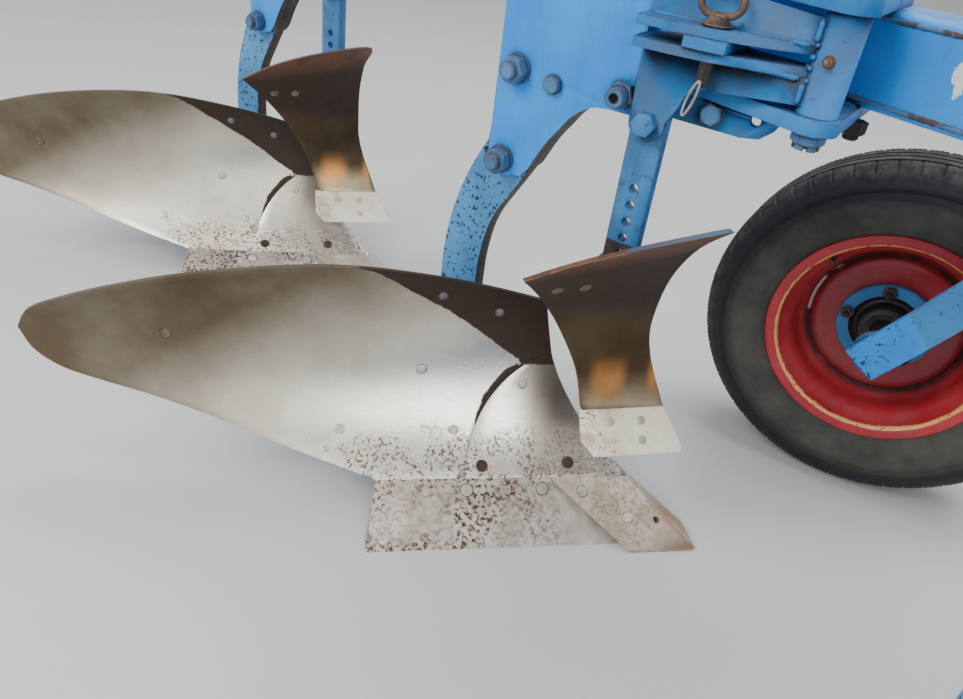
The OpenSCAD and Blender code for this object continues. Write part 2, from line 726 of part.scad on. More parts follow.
// Bracket plates above and below the beam that hold the hinge pins, and the tongues
module bracket_outline() {
    difference() {
        union() {
            translate(hinge) circle(d = sleeve_d + 14);
            intersection() {
                polygon([hinge + [-13, -29], hinge + [31, -10], [16, 400], [-120, 400], [-190, 170],
                         [-215, 60], [-192, -28]]);
                rotate(-frame_angle) translate([-800, -600]) square([1600, beam_y + beam_w / 2 + 600]);
            }
        }
        translate(hinge) circle(d = hinge_pin_d + 2 * fit);
    }
}
module tongue_outline() {
    difference() {
        intersection() {
            polygon([[-212, -115], [-157, -115], [-132, 400], [-232, 400]]);
            rotate(-frame_angle) translate([-800, -600])
                square([1600, beam_y - beam_w / 2 - face_gap + 600]);
        }
        translate(set_pin) circle(d = set_pin_d + 1);
    }
}
module hinge_brackets() {
    color("steelblue") each_station() {
        level_plate(axis_h - beam_w / 2 - bracket_t - face_gap, bracket_t) bracket_outline();
        level_plate(axis_h + beam_w / 2 + face_gap, bracket_t) bracket_outline();
        level_plate(axis_h - tongue_t / 2, tongue_t) tongue_outline();
    }
}

// Head plate: joins the beam to the turning shaft, with gussets along the beam
module head_plate() {
    top = 150;
    gusset_t = 16;
    color("steelblue") place() {
        translate([head_x - head_t, axis_y - 180, axis_h - top]) cube([head_t, 330, 2 * top]);
        for (z = [-beam_w / 2 - gusset_t - face_gap, beam_w / 2 + face_gap])
            translate([0, 0, axis_h + z]) linear_extrude(gusset_t)
                polygon([[head_x - head_t + 1, axis_y - 160], [head_x - head_t + 1, axis_y + 130],
                         [head_x - 190, axis_y - 40], [head_x - 190, axis_y - 140]]);
    }
}

// Turning shaft with its end nut and the crank at the front
crank_x = stock_x + housing_l + 20 + 45;
crank_t = 25;
module turn_shaft() {
    color("gray") place() {
        translate([head_x + face_gap, axis_y, axis_h]) rotate([0, 90, 0])
            cylinder(d = shaft_d, h = crank_x - head_x - face_gap);
        translate([head_x + face_gap, axis_y, axis_h]) rotate([0, 90, 0])
            cylinder(d = 190, h = 14, $fn = 64);
        translate([crank_x - 22, axis_y, axis_h]) rotate([0, 90, 0]) cylinder(d = 130, h = 22, $fn = 8);
        translate([crank_x, axis_y, axis_h]) rotate([90, 0, 90]) linear_extrude(crank_t)
            bar2([0, 0], [-crank_r, 0], 60);
        translate([crank_x + crank_t - 1, axis_y - crank_r, axis_h]) rotate([0, 90, 0])
            cylinder(d = 30, h = 8);
    }
}

// Headstock: two side plates with cross plates, carrying the housing, links, stand and cylinder
ram_x = crank_x + crank_t + 14;
ram_z = axis_h + ram_h;
tower_front = link_x - 60;
module tower() {
    half = stock_w / 2;
    color("steelblue") place() {
        for (side = [-1, 1])
            side_plate(axis_y + side * (half + stock_t / 2) - stock_t / 2, stock_t) difference() {
                polygon([[stock_x, axis_h - 100], [link_x - 70, link_z - 50], [link_x + 45, link_z - 50],
                         [link_x + 45, link_z + 50], [tower_front + 40, axis_h],
                         [tower_front + 20, ram_z + 90], [tower_front - 90, ram_z + 110],
                         [stock_x, axis_h + 100]]);
                translate([link_x, link_z]) circle(d = 60 + 2 * fit);
            }
        // Cross plate at the top, behind the cylinder
        translate([ram_x - 50, axis_y - half, ram_z - 65]) cube([20, stock_w, 165]);
        // Pivot of the cylinder
        translate([ram_x - 31, axis_y, ram_z]) rotate([0, 90, 0]) cylinder(d = 30, h = 84);
    }
}

module bearing_housing() {
    half = stock_w / 2 - face_gap;
    plate_t = 20;
    color("steelblue") place() translate([stock_x + 10, axis_y, axis_h]) difference() {
        union() {
            rotate([0, 90, 0]) cylinder(d = housing_d, h = housing_l, $fn = 64);
            for (x = [15, housing_l - 15 - plate_t])
                translate([x, -half, -88]) cube([plate_t, 2 * half, 176]);
        }
        translate([-1, 0, 0]) rotate([0, 90, 0])
            cylinder(d = shaft_d + 2 * run_fit, h = housing_l + 2, $fn = 96);
    }
}

// Lower link bar with its two hitch pins
module lower_link_bar() {
    color("dimgray") place() {
        cross_bar(link_x, link_z, axis_y - link_span / 2, link_span, 60);
        for (side = [-1, 1]) {
            cross_bar(link_x, link_z, axis_y + side * (link_span + link_pin_l) / 2 - link_pin_l / 2,
                      link_pin_l, link_pin_d);
            cross_bar(link_x, link_z, axis_y + side * (link_span / 2 - 6) - 6, 12, 90);
        }
    }
}

// Two lugs for the top link on the upper cross plate
module top_link_lugs() {
    lug_t = 20;
    top_z = link_z + mast_h;
    foot_x = ram_x - 30 + face_gap;
    color("steelblue") place() for (side = [-1, 1])
        side_plate(axis_y + side * (top_gap + lug_t) / 2 - lug_t / 2, lug_t) difference() {
            union() {
                translate([lug_x, top_z]) circle(r = lug_r);
                polygon([[foot_x, ram_z + 45], [foot_x, ram_z + 98], [lug_x, top_z + lug_r],
                         [lug_x + 14, top_z - 26]]);
            }
            translate([lug_x, top_z]) circle(d = top_hole_d);
        }
}

// Parking stand in its guide on the left side of the headstock
stand_x = stock_x + 170;
stand_y = axis_y + stock_w / 2 + stock_t + 12 + stand_w / 2;
module stand_guide() {
    wall = 10;
    out = stand_w + 2 * stand_gap + 2 * wall;
    low = axis_h - 190;
    color("steelblue") place() difference() {
        union() {
            translate([stand_x - out / 2, stand_y - out / 2, low]) cube([out, out, 220]);
            translate([stand_x - 30, axis_y + stock_w / 2 + stock_t + face_gap, low + 110])
                cube([60, 12, 70]);
        }
        translate([stand_x - stand_w / 2 - stand_gap, stand_y - stand_w / 2 - stand_gap, low - 1])
            cube([stand_w + 2 * stand_gap, stand_w + 2 * stand_gap, 222]);
    }
}
module stand_leg() {
    foot_t = 12;
    color("gray") place() difference() {
        union() {
            translate([stand_x - stand_w / 2, stand_y - stand_w / 2, foot_t - 1])
                cube([stand_w, stand_w, axis_h + 60 - foot_t]);
            translate([stand_x - foot_w / 2, stand_y - foot_w / 2, 0]) cube([foot_w, foot_w, foot_t]);
        }
        translate([stand_x - stand_w / 2 + 5, stand_y - stand_w / 2 + 5, foot_t])
            cube([stand_w - 10, stand_w - 10, axis_h + 100]);
    }
}

// Turning cylinder: its eye stands just in front of the crank's pin
ram_l = norm([crank_r, ram_h]);
ram_off = 13;
module ram_frame() {
    place() translate([ram_x, axis_y, ram_z]) rotate([-atan(crank_r / ram_h), 0, 0]) children();
}
module cylinder_barrel() {
    color("steelblue") ram_frame() difference() {
        union() {
            translate([ram_off, 0, -205]) cylinder(d = ram_d, h = 175);
            translate([ram_off, 0, -40]) cylinder(d = 40, h = 40);
            translate([ram_off - 24, 0, 0]) rotate([0, 90, 0]) cylinder(d = 56, h = 48);
        }
        translate([-19, 0, 0]) rotate([0, 90, 0]) cylinder(d = 30 + 2 * run_fit, h = 60);
        translate([ram_off, 0, -206]) cylinder(d = 36, h = 150);
    }
}
module cylinder_rod() {
    color("silver") ram_frame() union() {
        translate([ram_off, 0, -ram_l + 20]) cylinder(d = 35, h = ram_l - 90);
        difference() {
            translate([ram_off - 18, 0, -ram_l]) rotate([0, 90, 0]) cylinder(d = 58, h = 36);
            translate([ram_off - 19, 0, -ram_l]) rotate([0, 90, 0]) cylinder(d = 30.5, h = 40);
        }
    }
}

// Depth wheel: bracket on the beam, swing arm, axle, hub, rim and tyre
axle_z = tyre_d / 2;
arm_y = wheel_y - tyre_w / 2 - 14 - arm_t;
// The arm is cranked at its knee; its square lower end stands past the axle
arm_knee = [wheel_x + 119, axle_z + 182];
arm_end = 32;
// Thickness left between the blind axle hole and the arm's outer face
arm_web = 8;
swing_pin_d = 45;
module wheel_bracket() {
    beam_left = (beam_y + beam_w / 2 - swing_x * sin(frame_angle)) / cos(frame_angle);
    color("steelblue") place() {
        difference() {
            union() {
                translate([swing_x - 50, beam_left - 60, axis_h - 50])
                    cube([100, arm_y - 6 - beam_left + 60, 100]);
                translate([swing_x - 130, beam_left - 60, axis_h - 8]) linear_extrude(16)
                    polygon([[0, 0], [260, 0], [180, 190], [80, 190]]);
            }
            rotate([0, 0, -frame_angle]) translate([-2000, beam_y - beam_w, axis_h - beam_w])
                cube([4000, 1.5 * beam_w + face_gap, 2 * beam_w]);
        }
        cross_bar(swing_x, axis_h, arm_y - 7, arm_t + 25, swing_pin_d);
        cross_bar(swing_x, axis_h, arm_y + arm_t + 6, 12, 70);
    }
}
module swing_arm() {
    axle = [wheel_x, axle_z];
    pivot = [swing_x, axis_h];
    low_way = (arm_knee - axle) / norm(arm_knee - axle);
    high_way = (pivot - arm_knee) / norm(pivot - arm_knee);
    low_side = arm_h / 2 * [-low_way[1], low_way[0]];
    high_side = arm_h / 2 * [-high_way[1], high_way[0]];
    mitre = (low_side + high_side) / (1 + low_way * high_way);
    low_end = axle - arm_end * low_way;
    color("steelblue") place() difference() {
        union() {
            side_plate(arm_y, arm_t) polygon([
                low_end - low_side, arm_knee - mitre, pivot - high_side,
                pivot + high_side, arm_knee + mitre, low_end + low_side]);
            cross_bar(swing_x, axis_h, arm_y, arm_t, 96);
        }
        cross_bar(swing_x, axis_h, arm_y - 1, arm_t + 2, swing_pin_d + 2 * run_fit);
        cross_bar(wheel_x, axle_z, arm_y + arm_web, arm_t, axle_d + 2 * fit);
    }
}
module stub_axle() {
    start = arm_y + arm_web + face_gap;
    color("dimgray") place() cross_bar(wheel_x, axle_z, start, wheel_y + 62 - start, axle_d);
}
// Face of the rim's disc towards the arm, from the wheel's middle plane
disc_face = 30;
module wheel_hub() {
    color("steelblue") place() difference() {
        union() {
            cross_bar(wheel_x, axle_z, wheel_y - 70, 125, 92);
            cross_bar(wheel_x, axle_z, wheel_y - disc_face - face_gap - 12, 12, 200);
        }
        cross_bar(wheel_x, axle_z, wheel_y - 80, 142 + 3, axle_d + 2 * run_fit);
    }
}

// Dished rim, turned about its axle; x of the profile is the radius
module wheel_rim() {
    flange = rim_d / 2;
    well = 165;
    half = 70;
    color("firebrick") place() translate([wheel_x, wheel_y, axle_z]) rotate([90, 0, 0])
        rotate_extrude($fn = 96)
        polygon([[flange, half], [flange - 6, half + 3], [flange - 14, half], [flange - 16, half - 16],
                 [well, 30], [well, -34], [flange - 16, -half + 16], [flange - 14, -half],
                 [flange - 6, -half - 3],
                 [flange, -half], [flange, -half - 6], [flange - 18, -half - 8], [flange - 24, -half + 14],
                 [well - 6, -36], [well - 6, -14], [120, -2], [106, disc_face - 9], [52, disc_face - 8],
                 [52, disc_face], [112, disc_face], [128, 8], [well - 6, -4], [well - 6, 32],
                 [flange - 24, half - 14], [flange - 18, half + 8], [flange, half + 6]]);
}

// Tyre with rounded shoulders
module tyre() {
    r = tyre_d / 2;
    half = tyre_w / 2;
    bead = rim_d / 2 - 14 + 0.5;
    color([0.12, 0.12, 0.12]) place() translate([wheel_x, wheel_y, axle_z]) rotate([90, 0, 0])
        rotate_extrude($fn = 96)
        polygon([[bead, 66], [bead + 15, 66], [bead + 17, 76], [bead + 24, 84], [(bead + r) / 2, half],
                 [r - 36, half - 6], [r - 14, half - 20], [r, half - 42], [r, 42 - half],
                 [r - 14, 20 - half], [r - 36, 6 - half],
                 [(bead + r) / 2, -half], [bead + 24, -84], [bead + 17, -76], [bead + 15, -66], [bead, -66],
                 [bead + 6, -56], [r - 40, -half + 20], [r - 26, -half + 44], [r - 26, half - 44],
                 [r - 40, half - 20], [bead + 6, 56]]);
}

mouldboards();
shins();
shares();
points();
landsides();
frogs();
wing_stays();
legs();
cheeks();
leg_bolts();
consoles();
hinge_pins();
width_pins();
skimmer_stalks();
skimmer_brackets();
skimmer_boards();
skimmer_shares();
main_beam();
hinge_brackets();
head_plate();
turn_shaft();
wheel_bracket();
swing_arm();
stub_axle();
wheel_hub();
wheel_rim();
tyre();
tower();
bearing_housing();
lower_link_bar();
top_link_lugs();
stand_guide();
stand_leg();
cylinder_barrel();
cylinder_rod();
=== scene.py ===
import json
import math
from math import cos, pi, radians, sin, tan

import bmesh
import bpy
from mathutils import Matrix, Vector, noise

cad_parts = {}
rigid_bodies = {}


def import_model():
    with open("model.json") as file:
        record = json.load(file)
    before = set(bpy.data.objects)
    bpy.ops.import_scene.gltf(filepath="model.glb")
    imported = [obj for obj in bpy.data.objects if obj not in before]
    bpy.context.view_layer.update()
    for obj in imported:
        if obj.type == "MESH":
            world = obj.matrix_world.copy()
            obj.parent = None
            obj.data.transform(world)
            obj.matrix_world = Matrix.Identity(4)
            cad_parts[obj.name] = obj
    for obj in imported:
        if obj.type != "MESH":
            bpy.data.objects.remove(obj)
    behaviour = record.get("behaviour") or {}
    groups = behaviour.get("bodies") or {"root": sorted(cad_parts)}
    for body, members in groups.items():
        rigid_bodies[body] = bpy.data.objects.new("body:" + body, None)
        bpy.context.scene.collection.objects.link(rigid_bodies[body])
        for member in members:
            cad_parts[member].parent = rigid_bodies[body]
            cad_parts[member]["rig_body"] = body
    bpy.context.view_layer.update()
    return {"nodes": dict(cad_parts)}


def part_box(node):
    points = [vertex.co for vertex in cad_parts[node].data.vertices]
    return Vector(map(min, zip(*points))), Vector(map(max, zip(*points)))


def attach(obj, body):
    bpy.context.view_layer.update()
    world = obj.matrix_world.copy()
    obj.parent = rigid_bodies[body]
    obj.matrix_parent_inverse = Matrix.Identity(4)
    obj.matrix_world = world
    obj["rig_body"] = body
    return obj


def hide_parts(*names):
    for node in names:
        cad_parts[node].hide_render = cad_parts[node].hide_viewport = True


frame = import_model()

# ---- places
# Body frame: millimetres from the tip of the middle body, +X travel, +Y left, +Z up.
FURROWS = 3
PITCH_X, PITCH_Y = 900.0, 373.0
AXIS_H, AXIS_Y = 835.0, -190.0
WHEEL = Vector((146.0, 422.0, 328.0))
tyre_low, tyre_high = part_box("tyre")
OX, OY = (WHEEL[i] - 500 * (tyre_low[i] + tyre_high[i]) for i in (0, 1))
FRAME_ANGLE = math.atan(PITCH_Y / PITCH_X)


def at(i, flip=False):
    """Takes body i, counted from the front, to metres in the shared frame."""
    shift = Matrix.Translation(((1 - i) * PITCH_X - OX, (i - 1) * PITCH_Y - OY,
                                2 * AXIS_H if flip else 0))
    return Matrix.Scale(0.001, 4) @ (shift @ Matrix.Diagonal((1, 1, -1 if flip else 1, 1)))


ONCE = [(at(1), False)]
STATIONS = [(at(i), False) for i in range(FURROWS)]
BODIES = [(at(i, f), f) for i in range(FURROWS) for f in (False, True)]


def mm(x, y, z):
    return ONCE[0][0] @ Vector((x, y, z))


def lower(z):
    """Height of the same point on the lower body."""
    return z if z < AXIS_H else 2 * AXIS_H - z


def clamp01(v):
    return max(0.0, min(1.0, v))


# ---- faces of board and skimmer
# On both faces t runs back along the cutting edge and z is the height.
SHARE_ANGLE, SKIM_ANGLE = 40.7, 45.0
RISE, PITCH, CURL = 68.0, radians(34), 308.0
BOARD_T, SKIM_T, SKIM_SHARE_T = 8.0, 7.0, 9.0
TURN_T, TURN_H = 500, 353.0
DIP_TURN, CREST_TURN = -8, 13.5
SEAM_RUN = RISE / tan(PITCH)
CURL_Z = RISE + CURL * cos(PITCH)
CURL_RUN = SEAM_RUN - CURL * sin(PITCH)
SKIM_RUN, SKIM_WAIST = 95, 385
SKIM_CURL_LOW, SKIM_CURL_HIGH = 240.0, 285.0
SKIM_TURN, SKIM_FOOT, SKIM_TURN_H, SKIM_T0 = 16, 265, 330.0, 150


def board_run(z):
    if z <= RISE:
        return z / tan(PITCH)
    return CURL_RUN + math.sqrt(CURL * CURL - (z - CURL_Z) ** 2)


def board_s(t, z):
    u = max(0.0, z - RISE) / TURN_H
    return board_run(z) - (t - TURN_T) * tan(radians(DIP_TURN * u + CREST_TURN * u * u))


def skim_s(t, z):
    r = SKIM_CURL_LOW if z < SKIM_WAIST else SKIM_CURL_HIGH
    run = SKIM_RUN - r + math.sqrt(r * r - (z - SKIM_WAIST) ** 2)
    turn = SKIM_TURN * (max(0.0, z - SKIM_FOOT) / SKIM_TURN_H) ** 1.5
    return run - (t - SKIM_T0) * tan(radians(turn))


FACE = {"board": (board_s, SHARE_ANGLE), "skim": (skim_s, SKIM_ANGLE)}


def on_face(kind, t, z, depth=0.0):
    """Point of the face at (t, z), moved level behind it by depth, and the face's normal."""
    f, angle = FACE[kind]
    st = f(t + .5, z) - f(t - .5, z)
    sz = f(t, z + .5) - f(t, z - .5)
    rot = Matrix.Rotation(radians(angle), 3, "Z")
    p = rot @ Vector((-t, f(t, z) + depth * math.sqrt(1 + st * st + sz * sz), z))
    return p, rot @ Vector((-st, -1.0, sz)).normalized()


def front_t(z):
    """Where the shin's front edge lies at height z."""
    slope = tan(radians(SHARE_ANGLE))
    return board_s(board_run(z) / slope, z) / slope


def spline(p, n):
    """Smooth line through the points p, with n steps between two of them."""
    out, last = [], len(p) - 1
    for i in range(last):
        a, b, c, d = (Vector(p[k]) for k in (max(i - 1, 0), i, i + 1, min(i + 2, last)))
        for k in range(n):
            u = k / n
            out.append(0.5 * (2 * b + (c - a) * u + (2 * a - 5 * b + 4 * c - d) * u * u
                              + (3 * b - a - 3 * c + d) * u ** 3))
    return out + [Vector(p[last])]


def spread_over(line, count):
    """Points of the line, shared out evenly among count places."""
    out = []
    for k in range(count):
        x = k / (count - 1) * (len(line) - 1)
        i = min(int(x), len(line) - 2)
        out.append(line[i].lerp(line[i + 1], x - i))
    return out


def straight(a, b, n):
    return [Vector(a).lerp(Vector(b), k / n) for k in range(n + 1)]


# ---- materials
def srgb(r, g, b):
    def linear(c):
        c /= 255.0
        return c / 12.92 if c <= 0.04045 else ((c + 0.055) / 1.055) ** 2.4
    return (linear(r), linear(g), linear(b), 1.0)


def operation(op, swap=False):
    """Method of Value that adds one Math node."""
    return lambda self, v=0.0: self.math(op, *((v, self) if swap else (self, v)))


class Value:
    """One output of a shader node. Arithmetic on it adds Math nodes."""

    def __init__(self, mat, socket):
        self.mat, self.socket = mat, socket

    def math(self, op, a, b=0.0, clamp=False):
        return self.mat.node("Math", {0: a, 1: b}, operation=op, use_clamp=clamp)

    __add__, __mul__, __truediv__ = operation("ADD"), operation("MULTIPLY"), operation("DIVIDE")
    __sub__, __rsub__ = operation("SUBTRACT"), operation("SUBTRACT", swap=True)
    __abs__, max = operation("ABSOLUTE"), operation("MAXIMUM")
    sine, root = operation("SINE"), operation("SQRT")

    def plus(self, v):
        """Sum held between 0 and 1."""
        return self.math("ADD", self, v, clamp=True)

    def step(self, lo, hi, a=0.0, b=1.0):
        """Goes smoothly from a at lo to b at hi."""
        ends = {"Value": self, "From Min": lo, "From Max": hi, "To Min": a, "To Max": b}
        return self.mat.node("MapRange", ends, interpolation_type="SMOOTHSTEP")

    def band(self, lo, hi, soft):
        """1 between lo and hi, falling off over soft."""
        return self.step(lo - soft, lo + soft) * self.step(hi + soft, hi - soft)


class Mat:
    """Short way to write a node tree on a Principled shader. Colours are sRGB, 0 to 255."""

    def __init__(self, name, rough=0.5, metal=0.0, spec=0.5):
        self.m = bpy.data.materials.new(name)
        self.m.use_nodes = True
        self.shader = self.m.node_tree.nodes["Principled BSDF"]
        self.fill(self.shader, {"Roughness": rough, "Metallic": metal, "Specular IOR Level": spec})
        self.coord = self.node("TexCoord", {}, "Object")
        self.uv = self.node("TexCoord", {}, "UV")

    def fill(self, node, inputs):
        for key, value in inputs.items():
            socket = node.inputs[key]
            if isinstance(value, Value):
                self.m.node_tree.links.new(value.socket, socket)
            elif value is not None:
                socket.default_value = srgb(*value) if socket.type == "RGBA" else value

    def node(self, kind, inputs, out=0, **props):
        """Adds a node with its inputs and gives one of its outputs."""
        n = self.m.node_tree.nodes.new("ShaderNode" + kind)
        for k, v in props.items():
            setattr(n, k, v)
        self.fill(n, inputs)
        return Value(self, n.outputs[out])

    def parts(self, vec, kind="SeparateXYZ"):
        """The three parts of a vector or a colour."""
        return [Value(self, s) for s in self.node(kind, {0: vec}).socket.node.outputs]

    def zone(self):
        """The three masks that the mesh carries in its colour attribute."""
        attribute = self.node("Attribute", {}, "Color", attribute_name="zone")
        return self.parts(attribute, "SeparateColor")

    def noise(self, scale, detail=3.0, rough=0.55, stretch=None, of=None, distort=0.0):
        where = of or self.coord
        if stretch:
            where = self.node("Mapping", {"Vector": where, "Scale": stretch})
        return self.node("TexNoise", {"Vector": where, "Scale": scale, "Detail": detail,
                                      "Roughness": rough, "Distortion": distort}, "Fac")

    def mix(self, fac, a, b):
        return self.node("Mix", {0: fac, 6: a, 7: b}, 2, data_type="RGBA")

    def coat(self, fac, color):
        """Lays a colour over the ones before."""
        self.color = self.mix(fac, self.color, color)

    def fmix(self, fac, a, b):
        return self.node("Mix", {0: fac, 2: a, 3: b}, data_type="FLOAT")

    def edge(self, radius=0.003):
        """1 on sharp outer edges, from the rounded normal."""
        soft = self.node("Bevel", {"Radius": radius}, samples=4)
        flat = self.node("NewGeometry", {}, "Normal")
        dot = self.node("VectorMath", {0: soft, 1: flat}, "Value", operation="DOT_PRODUCT")
        return dot.step(0.99, 0.90)

    def up(self):
        """How far the surface faces up, 0 to 1."""
        return self.parts(self.node("NewGeometry", {}, "Normal"))[2].step(0.2, 0.95)

    def done(self, rough=None, metal=None, height=None, dist=0.001, strength=1.0):
        self.fill(self.shader, {"Base Color": self.color, "Roughness": rough, "Metallic": metal})
        if height:
            bump = self.node("Bump", {"Strength": strength, "Distance": dist, "Height": height})
            self.fill(self.shader, {"Normal": bump})
        return self.m


FLAKE = mm(96, 5, 846)
FLAKE_W, FLAKE_H = 0.017, 0.03


def paint(name, light, dark, chips=0.5, dust=0.4, worn=0.5, rough=0.42, soil=(122, 112, 98),
          flake=False, size=1.0, chip=((44, 30, 24), (112, 70, 44)), spread=0.0):
    """Old enamel: uneven tone, rust where it has chipped off, dust on what faces up, painted shade with
    some grime in crevices.
    """
    a = Mat(name, rough, 0.0, 0.3)
    tone = a.noise(5.0, 4).step(0.3, 0.7)
    streak = a.noise(9.0, 5, 0.6, (3.0, 3.0, 0.6)).step(0.42, 0.75)
    a.color = a.mix(tone, dark, light)
    a.coat(streak * 0.16, (34, 66, 92))
    field = a.noise(3.2, 3).step(0.42 - spread, 0.68 - spread)
    hole = a.noise(34.0 * size, 7, 0.68).step(0.72 - 0.12 * chips, 0.755 - 0.12 * chips)
    speck = a.noise(170.0, 4, 0.6).step(0.70 - 0.05 * chips, 0.735 - 0.05 * chips)
    rim = a.edge() * a.noise(60.0, 5, 0.7).step(0.62 - 0.2 * worn, 0.68 - 0.2 * worn)
    bare = (hole * field.plus(0.25)).max(speck * field).max(rim)
    a.coat(bare, a.mix(a.noise(95.0, 5), *chip))
    if flake:
        # bare white patch on the beam's near side
        x, y, z = a.parts(a.coord)
        dx, dz = (x - FLAKE.x) / FLAKE_W, (z - FLAKE.z) / FLAKE_H
        ragged = dx * dx + dz * dz + (a.noise(38.0, 6, 0.7) - 0.5) * 4.5
        near = y.step(FLAKE.y + 0.06, FLAKE.y + 0.05)
        a.coat(ragged.step(0.5, 0.4) * near, (226, 232, 230))
    dirt = a.up() * a.noise(14.0, 6, 0.7).step(0.38, 0.62) * dust
    # painted shade: darker where ambient occlusion finds crevices and corners, broken up by noise like
    # grime
    nook = a.node("AmbientOcclusion", {"Distance": 0.02}, "AO", samples=4)
    crevice_shade_and_grime = nook.step(0.8, 0.35) * a.noise(40.0, 5).step(0.25, 0.6, 0.3, 0.9)
    a.coat(crevice_shade_and_grime, (34, 32, 32))
    a.coat(dirt, soil)
    r = (bare * 0.4 + dirt * 0.45).plus(tone * 0.12 + (rough - 0.06))
    return a.done(r, None, a.noise(260.0, 2) * 0.12 - bare * 0.5, 0.0008, 0.8)


# Painted warm reflections: orange places in the skimmer's film, along and up, in metres: from, to,
# softness.
WARM_REFLECTIONS = (((0.184, 0.238, 0.014), (0.284, 0.335, 0.026)),
           ((0.122, 0.138, 0.009), (0.292, 0.340, 0.026)))


def polished(name, skim):
    """Scoured steel. Zones: brown film; pits, or rust at the skimmer's crest; dullness with painted shade.
    """
    a = Mat(name, 0.3, 1.0)
    film, rust, dull_and_shade = a.zone()
    grain = a.noise(60.0, 5, 0.7, (0.5, 7.0, 1.0), a.uv)
    fine = a.noise(160.0, 3, 0.6, (0.35, 9.0, 1.0), a.uv)
    cloud = a.noise(7.0, 5, 0.62)
    blot = a.noise(26.0, 7, 0.7)
    bright, mid, olive_shade, film_lo, film_hi = (250, 243, 228), (222, 212, 194), (100, 87, 68), 0.42, 0.6
    if skim:
        bright, mid, olive_shade, film_lo, film_hi = (200, 182, 148), (136, 114, 84), (78, 63, 45), 0.1, 0.9
    a.color = a.mix(cloud.step(0.35, 0.7, 0.1, 0.8), bright, mid)
    # painted reflection and shade: olive where the third zone rises, bright steel where it stays low; that
    # zone also roughens the steel
    a.coat(dull_and_shade * cloud.step(0.2, 0.75, 0.88, 1.0), olive_shade)
    a.coat(grain.step(0.5, 0.8) * 0.25, (120, 108, 92))
    freckle = a.noise(210.0, 4, 0.62).step(0.6, 0.7) * blot.step(0.46, 0.62)
    a.coat(freckle * 0.45, (108, 84, 62))
    mask = (film + (blot - 0.5) * 0.5).step(film_lo, film_hi) * film.step(0.02, 0.3)
    brown = a.mix(a.noise(48.0, 6, 0.7), (28, 20, 15), (66, 46, 33))
    brown = a.mix(a.noise(120.0, 4).step(0.62, 0.76, 0.0, 0.4), brown, (86, 64, 48))
    if skim:
        brown = a.mix(rust * a.noise(12.0, 5).step(0.25, 0.6, 0.2, 0.75), brown, (126, 82, 60))
    a.coat(mask, brown)
    pit = a.noise(160.0, 6, 0.72).step(0.525, 0.56) * (rust + (blot - 0.5) * 1.6).step(0.3, 0.7)
    pit *= a.noise(20.0, 4).step(0.36, 0.5)
    a.coat(pit * 0.9, a.mix(a.noise(300.0, 2), (62, 40, 34), (124, 84, 70)))
    if skim:
        # painted orange reflections on the skimmer's film, in the two places listed above
        t, z, _ = a.parts(a.uv)
        one, other = (t.band(*across) * z.band(*up) for across, up in WARM_REFLECTIONS)
        orange = a.mix(a.noise(30.0, 4), (236, 172, 96), (196, 120, 62))
        a.coat(one.max(other) * 0.8, orange)
    r = a.fmix(pit, a.fmix(mask, grain * 0.16 + 0.2 + dull_and_shade * 0.16, 0.62), 0.8)
    h = fine * 0.16 + a.noise(18.0, 3) * 0.6 - pit * 0.8
    return a.done(r, 0.94 - mask.max(pit) * 0.72, h, 0.0007, 0.55)


def ground_steel(name, light, dark, speck, metal=0.35, rough=0.5, span=None, tip=False):
    """Share steel: pale, dusty, peppered with rust, most of all over span. Zones: stain, pits."""
    a = Mat(name, rough, metal)
    stain, grit, _ = a.zone()
    t = a.parts(a.uv)[0]
    cloud = a.noise(16.0, 6, 0.66)
    scratch = a.noise(90.0, 5, 0.7, (0.6, 6.0, 1.0), a.uv)
    a.color = a.mix(cloud.step(0.34, 0.68), light, dark)
    a.coat(scratch.step(0.55, 0.8) * 0.35, (140, 130, 120))
    field = a.noise(11.0, 4).step(0.36, 0.62)
    if span:
        field = field.plus(0.25) * t.band(*span, 0.035)
    spots = a.noise(130.0, 6, 0.74).step(0.515, 0.545) * (field * grit.plus(speck))
    a.coat(spots, a.mix(a.noise(70.0, 4), (44, 30, 26), (108, 70, 56)))
    a.coat(a.noise(20.0, 5).step(0.45, 0.7) * stain * 0.7, (176, 132, 92))
    wrinkle = (a.noise(13.0, 3, 0.5, distort=0.5) * 110.0).sine()
    veins = wrinkle.step(0.72, 0.95) * (stain * a.noise(26.0, 3).step(0.42, 0.56))
    a.coat(veins * 0.85, (66, 52, 42))
    if tip:
        warm = t.step(0.10, 0.03) * a.noise(14.0, 4).step(0.3, 0.6)
        a.coat(warm * 0.75, (190, 142, 96))
    r = a.fmix(spots, scratch * 0.2 + (rough - 0.12), 0.85)
    h = cloud * 0.5 - spots * 0.9 + scratch * 0.15
    return a.done(r, (1.0 - spots) * metal, h, 0.0009, 0.7)


def rusty(name, low, high, metal, rough, shine, bright=0.3, scale=1.0):
    """Bare steel with a coat of rust and rubbed edges."""
    a = Mat(name, rough, metal)
    coarse = a.noise(22.0 * scale, 7, 0.7)
    fine = a.noise(120.0 * scale, 5, 0.65)
    a.color = a.mix(coarse.step(0.3, 0.7), low, high)
    a.coat(fine.step(0.5, 0.72) * 0.5, (38, 28, 24))
    rub = a.edge(0.002).max(coarse.step(0.78 - 0.3 * bright, 0.85 - 0.3 * bright))
    rub *= a.noise(70.0, 5).step(0.35, 0.6)
    r, m = a.fmix(rub, fine * 0.15 + rough, 0.33), a.fmix(rub, metal, 0.85)
    a.coat(rub, shine)
    return a.done(r, m, coarse * 0.6 + fine * 0.4, 0.0009, 0.6)


BARE_LINE = 0.529


